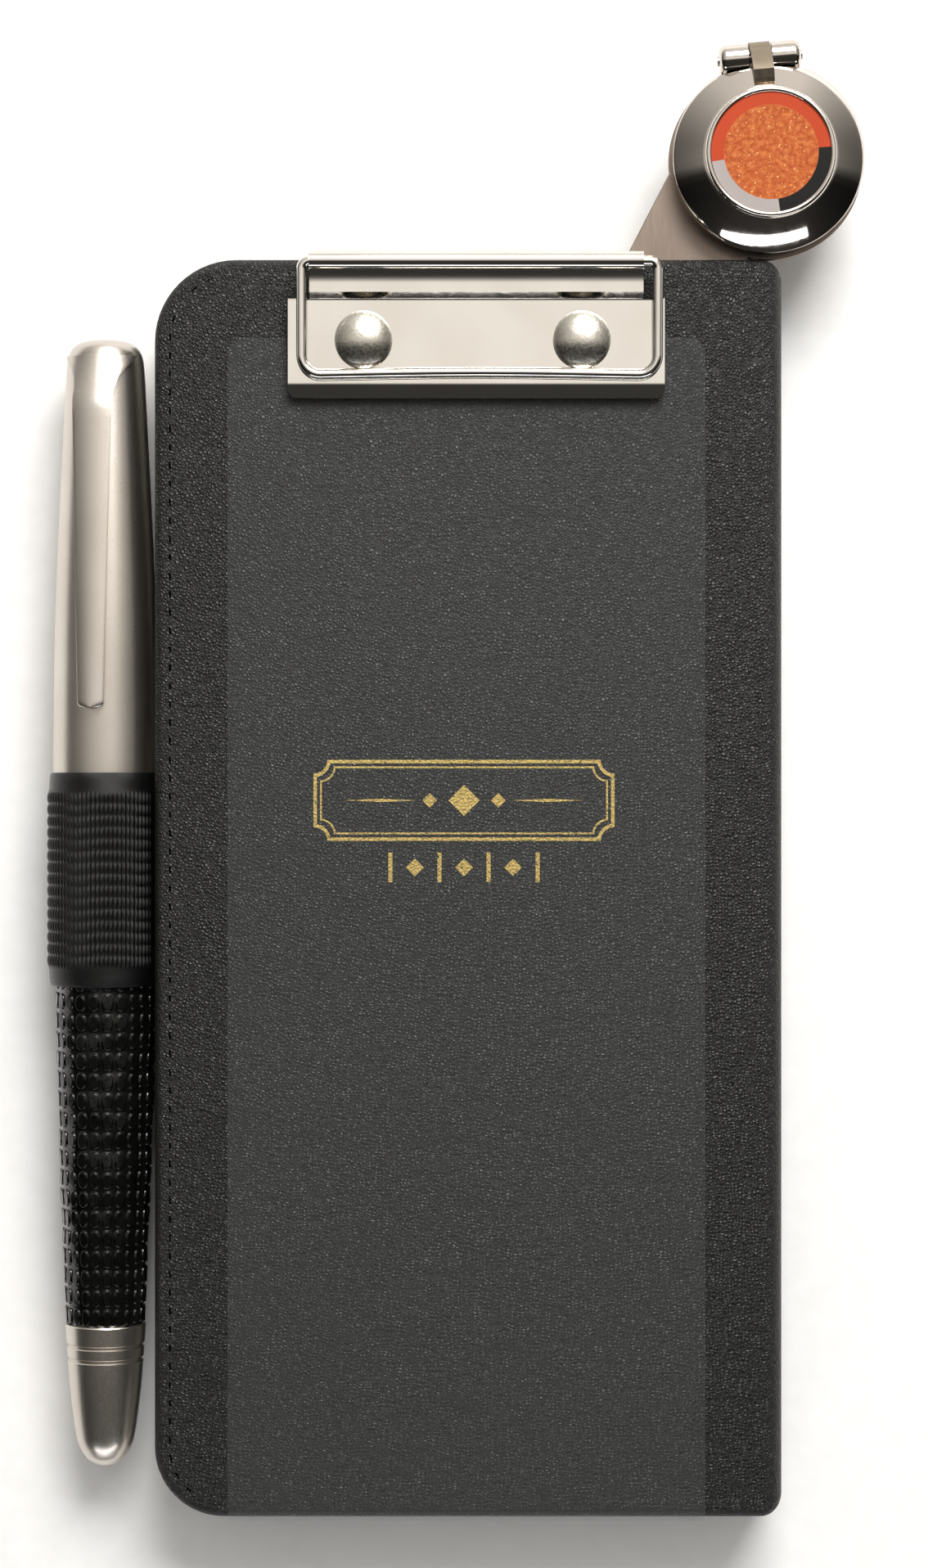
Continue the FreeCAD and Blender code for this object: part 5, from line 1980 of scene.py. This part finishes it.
@dataclass
class Indicator:
    """Round indicator: steel plate with its tongue, case, domed lid on a hinge and the sensing face."""

    steps: int = 96
    lid_r: float = 0.0117
    lid_t: float = 0.0008
    rim_h: float = 0.00075
    dome_h: float = 0.0026
    seat_r: float = 0.008
    ring_r: float = 0.00725
    base_r: float = 0.0112
    base_wall: float = 0.001
    base_floor: float = 0.0008
    hinge_turn: float = 5.0
    hinge_reach: float = 0.01225
    knuckle_r: float = 0.00185
    knuckle_half: float = 0.005
    knuckle_round: float = 0.0009
    tang_half: float = 0.00125
    tang_gap: float = 0.00015
    relief_half: float = 0.00535
    relief_gap: float = 0.0003
    lid: Extent = field(default_factory=lambda: Extent.of("indicator_lid"))

    def __post_init__(self) -> None:
        """Reads the indicator's centre from its sensing disc."""
        disc = Extent.of("indicator_disc").middle
        self.centre = Vector((disc.x, disc.y, 0))
        turn = math.radians(self.hinge_turn)
        self.pin_way = Vector((math.cos(turn), math.sin(turn), 0))
        self.out_way = Vector((-math.sin(turn), math.cos(turn), 0))
        self.pin_z = Extent.of("hinge_pin").middle.z

    def turned(self, name: str, profile: Sequence[tuple[float, float]], closed: bool = False) -> Object:
        """Spins (radius, height) points about the indicator's centre.

        Args:
            name: the piece's name.
            profile: pairs of radius and height.
            closed: whether it is a closed loop.

        Returns:
            The spun form.
        """
        points = [self.centre + X * radius + Z * z for radius, z in profile]
        return lathe(name, points, self.centre, Z, self.steps, closed)

    def hinge_rod(self, name: str, half: float, radius: float) -> Object:
        """A round blank on the hinge pin's axis.

        Args:
            name: the piece's name.
            half: half its length.
            radius: its radius.

        Returns:
            The blank.
        """
        middle = self.centre + self.out_way * self.hinge_reach + Z * self.pin_z
        return rod_blank(name, middle - self.pin_way * half, middle + self.pin_way * half, radius)

    def dome(self, radius: float, seat_r: float, base: float, rise: float) -> list[tuple[float, float]]:
        """Half outline of the lid from its seat down to its rim.

        Args:
            radius: its largest radius.
            seat_r: radius of the flat seat.
            base: height of its rim.
            rise: how far the seat stands over the shoulder.

        Returns:
            Pairs of radius and height.
        """
        shoulder = base + self.rim_h
        line = [(seat_r - 0.0003, shoulder + rise), (seat_r, shoulder + rise)]
        for k in range(1, 13):
            out = k / 12
            line.append((seat_r + (radius - 0.0001 - seat_r) * out,
                         shoulder + rise * (1 - 0.82 * out - 0.18 * out ** 2.2)))
        line.append((radius, shoulder - 0.00012))
        return line + [(radius, base + 0.0001), (radius - 0.0001, base)]

    def lid_shell(self) -> Object:
        """Polished dome with a thin wall, relieved round the hinge.

        Returns:
            The lid.
        """
        base = self.lid.low.z
        outer = self.dome(self.lid_r, self.seat_r, base, self.dome_h)
        inner = self.dome(self.lid_r - self.lid_t, self.seat_r - self.lid_t, base, self.dome_h - self.lid_t)
        crown = [(0.0, outer[0][1])]
        under = [(0.0, inner[0][1])]
        piece = self.turned("lid_dome", crown + outer + list(reversed(inner)) + under)
        relief = self.hinge_rod("relief", self.relief_half, self.knuckle_r + self.relief_gap)
        return smoothed(cut_by(piece, relief), 35)

    def case(self) -> Object:
        """Shallow case with a rounded rim and two knuckles.

        Returns:
            The case.
        """
        low, top = Extent.of("indicator_plate").high.z, self.pin_z
        inner = self.base_r - self.base_wall
        floor = low + self.base_floor
        outline = [(0, low), (self.base_r - 0.0001, low), (self.base_r, low + 0.0001),
                   (self.base_r, top - 0.0011), (self.base_r - 0.00025, top - 0.0009),
                   (self.base_r - 0.00025, top - 0.0007),
                   (self.base_r, top - 0.0005), (self.base_r, top - 0.00015), (self.base_r - 0.00015, top),
                   (inner + 0.0001, top), (inner, top - 0.0001), (inner, floor), (0, floor)]
        bowl = self.turned("case_bowl", outline)
        return join("indicator_case", [edged(bowl, 0.00018, 3, 50), self.knuckle(1), self.knuckle(-1)])

    def knuckle(self, side: int) -> Object:
        """One rounded hinge knuckle and its arm, standing in the case's rim.

        Args:
            side: 1 or -1 along the pin.

        Returns:
            The knuckle.
        """
        gap = self.tang_half + self.tang_gap
        foot, reach, low = self.base_r - self.base_wall, self.hinge_reach, self.pin_z - self.knuckle_r
        round_end = arc_points(Vector((reach, self.pin_z, 0)), self.knuckle_r, -90, 180, 26)
        side_view = [Vector((foot, low, 0)), *round_end, Vector((foot, self.pin_z, 0))]
        outline = [self.centre + self.out_way * p.x + Z * p.y + self.pin_way * side * gap for p in side_view]
        piece = prism("knuckle", outline, self.pin_way * side * (self.knuckle_half - gap))
        with editing(piece):
            true_normals()
            outer = self.centre + self.pin_way * side * self.knuckle_half
            pick(Element.FACE, lambda p, n: near((p - outer).dot(self.pin_way), 0)
                 and abs(n.dot(self.pin_way)) > 0.9)
            bpy.ops.mesh.region_to_loop()
            bevel(self.knuckle_round, 5)
        return edged(piece, 0.0001, 2, 50)

    def tang(self) -> Object:
        """Rounded centre leaf of the hinge, faceted on its top.

        Returns:
            The leaf.
        """
        piece = from_node("lid_tang", "hinge_tang")
        inner, crest, eye = 0.0086, 0.0101, self.hinge_reach
        top = self.lid.high.z
        side = ((inner, top - 0.0014), (inner, top - 0.0001), (crest, top + 0.00055),
                (eye + 0.0003, top - 0.0008), (eye + 0.0013, top - 0.0024), (eye, top - 0.0026),
                (crest, top - 0.0016))
        outline = [self.centre + self.out_way * v + Z * z - self.pin_way * self.tang_half for v, z in side]
        bar = prism("bar", outline, self.pin_way * 2 * self.tang_half)
        work(piece, "BOOLEAN", operation="UNION", object=bar, solver="EXACT")
        bpy.data.objects.remove(bar)
        return edged(piece, 0.0004, 2, 40)

    def make(self) -> None:
        """Makes the indicator."""
        plate = edged(from_node("indicator_plate", "tag_plate"), 0.00022, 2, 40)
        fit(plate, "indicator", "plate_steel", TAG_STEEL, "indicator_plate")
        fit(self.case(), "indicator", "indicator_chrome", CHROME, "indicator_base")
        fit(self.lid_shell(), "indicator_lid", "indicator_chrome", CHROME, "indicator_lid")
        fit(self.tang(), "indicator_lid", "tang_metal", DULL_STEEL, "lid_tang")
        seat, top = Extent.of("lid_bezel").low.z, Extent.of("lid_bezel").high.z
        bezel = [(self.seat_r, seat), (self.seat_r, top - 0.00045), (self.seat_r - 0.00012, top - 0.00015),
                 (self.seat_r - 0.00035, top), (self.ring_r + 0.0001, top - 0.00008),
                 (self.ring_r, top - 0.0002), (self.ring_r, seat)]
        rim = smoothed(self.turned("lid_rim", bezel, closed=True), 50)
        fit(rim, "indicator_lid", "indicator_chrome", CHROME, "lid_bezel")
        dress("hinge_pin", STEEL_WIRE)
        for node, finish in (("indicator_disc", DISC), ("ring_orange", ORANGE), ("ring_black", BLACK),
                             ("ring_grey", GREY)):
            dress(node, finish)


# ---------------------------------------------------------------- studio
@dataclass(frozen=True)
class Lamp:
    """One soft box."""

    name: str
    place: tuple[float, float, float]
    size: tuple[float, float]
    power: float
    tint: Colour = (1.0, 1.0, 1.0)

    def hang(self, target: Vector) -> None:
        """Hangs the box so that it faces a point.

        Args:
            target: the point it faces.
        """
        light = bpy.data.lights.new(self.name, "AREA")
        light.shape = "RECTANGLE"
        light.size, light.size_y = self.size
        light.energy = self.power
        light.color = self.tint
        lamp = bpy.data.objects.new(self.name, light)
        lamp.location = self.place
        lamp.rotation_euler = (target - Vector(self.place)).to_track_quat("-Z", "Y").to_euler()
        bpy.context.scene.collection.objects.link(lamp)


@dataclass
class Studio:
    """Pale floor, soft light and the camera straight above."""

    camera_place: tuple[float, float, float] = (-0.0006, 0.01275, 0.424)
    lens: float = 77.0
    sensor_w: float = 36.0
    floor_half: float = 1.6
    fall_from_top: Sequence[tuple[float, float]] = ((0.3, 0.04), (0.4, 0.05), (0.45, 0.12), (0.485, 0.5),
                                                    (0.515, 1.0), (0.57, 1.05), (0.66, 0.85), (1.0, 0.95))
    fall_across: Sequence[tuple[float, float]] = ((0.0, 0.1), (0.07, 0.25), (0.3, 0.8), (0.5, 1.0),
                                                  (0.7, 1.0), (0.93, 0.3), (1.0, 0.1))
    floor_colour: Colour = (0.9, 0.9, 0.895)
    lamps: Sequence[Lamp] = (
        Lamp("key_box", (0.15, 0.56, 0.60), (0.45, 0.38), 7.6, (1.0, 0.985, 0.96)),
        Lamp("low_window", (0.05, -1.0, 0.50), (1.5, 0.15), 3.6, (0.97, 0.98, 1.0)))

    def sky(self) -> None:
        """Even room light: pale overhead and behind the top edge, dim towards the bottom edge."""
        world = bpy.data.worlds.new("room")
        bpy.context.scene.world = world
        world.use_nodes = True
        tree = world.node_tree
        way = tree.nodes.new("ShaderNodeTexCoord").outputs["Generated"]
        parts = tree.nodes.new("ShaderNodeSeparateXYZ")
        tree.links.new(way, parts.inputs[0])
        shades = []
        for axis, stops in (("Y", self.fall_from_top), ("X", self.fall_across)):
            spread = tree.nodes.new("ShaderNodeMapRange")
            tree.links.new(parts.outputs[axis], spread.inputs["Value"])
            spread.inputs["From Min"].default_value = -1.0
            ramp = tree.nodes.new("ShaderNodeValToRGB")
            tree.links.new(spread.outputs["Result"], ramp.inputs["Fac"])
            while len(ramp.color_ramp.elements) < len(stops):
                ramp.color_ramp.elements.new(1.0)
            for element, (position, level) in zip(ramp.color_ramp.elements, stops):
                element.position = position
                element.color = (level, 0.975 * level, 0.94 * level, 1)
            shades.append(ramp.outputs["Color"])
        both = tree.nodes.new("ShaderNodeMix")
        both.data_type = "RGBA"
        both.blend_type = "MULTIPLY"
        both.inputs[0].default_value = 1.0
        tree.links.new(shades[0], both.inputs[6])
        tree.links.new(shades[1], both.inputs[7])
        tree.links.new(both.outputs[2], tree.nodes["Background"].inputs["Color"])
        tree.nodes["Background"].inputs["Strength"].default_value = 1.0

    def make(self) -> None:
        """Lays the floor, hangs the lights and sets the camera."""
        bpy.ops.object.select_all(action="DESELECT")
        bpy.ops.mesh.primitive_plane_add(size=2 * self.floor_half, location=(0, 0, -2 * HAIR))
        floor = settle("floor")
        floor.data.materials.append(Moulded("pale_floor", self.floor_colour, 0.9, 200.0).material())
        self.sky()
        for lamp in self.lamps:
            lamp.hang(Vector((0, 0, 0)))
        lens = bpy.data.cameras.new("camera")
        lens.lens = self.lens
        lens.sensor_width = self.sensor_w
        camera = bpy.data.objects.new("camera", lens)
        camera.location = self.camera_place
        bpy.context.scene.collection.objects.link(camera)
        bpy.context.scene.camera = camera
        bpy.context.scene.view_settings.view_transform = "Standard"


def main() -> None:
    """Builds every sub-assembly in order."""
    logging.basicConfig(level=logging.INFO, format="%(message)s")
    for kind in (Covers, FoilStamp, Booklet, BailClip, ClearCover, Pen, PenLoop, Indicator, Studio):
        kind().make()
    bpy.ops.object.select_all(action="DESELECT")


if __name__ == "__main__":
    main()
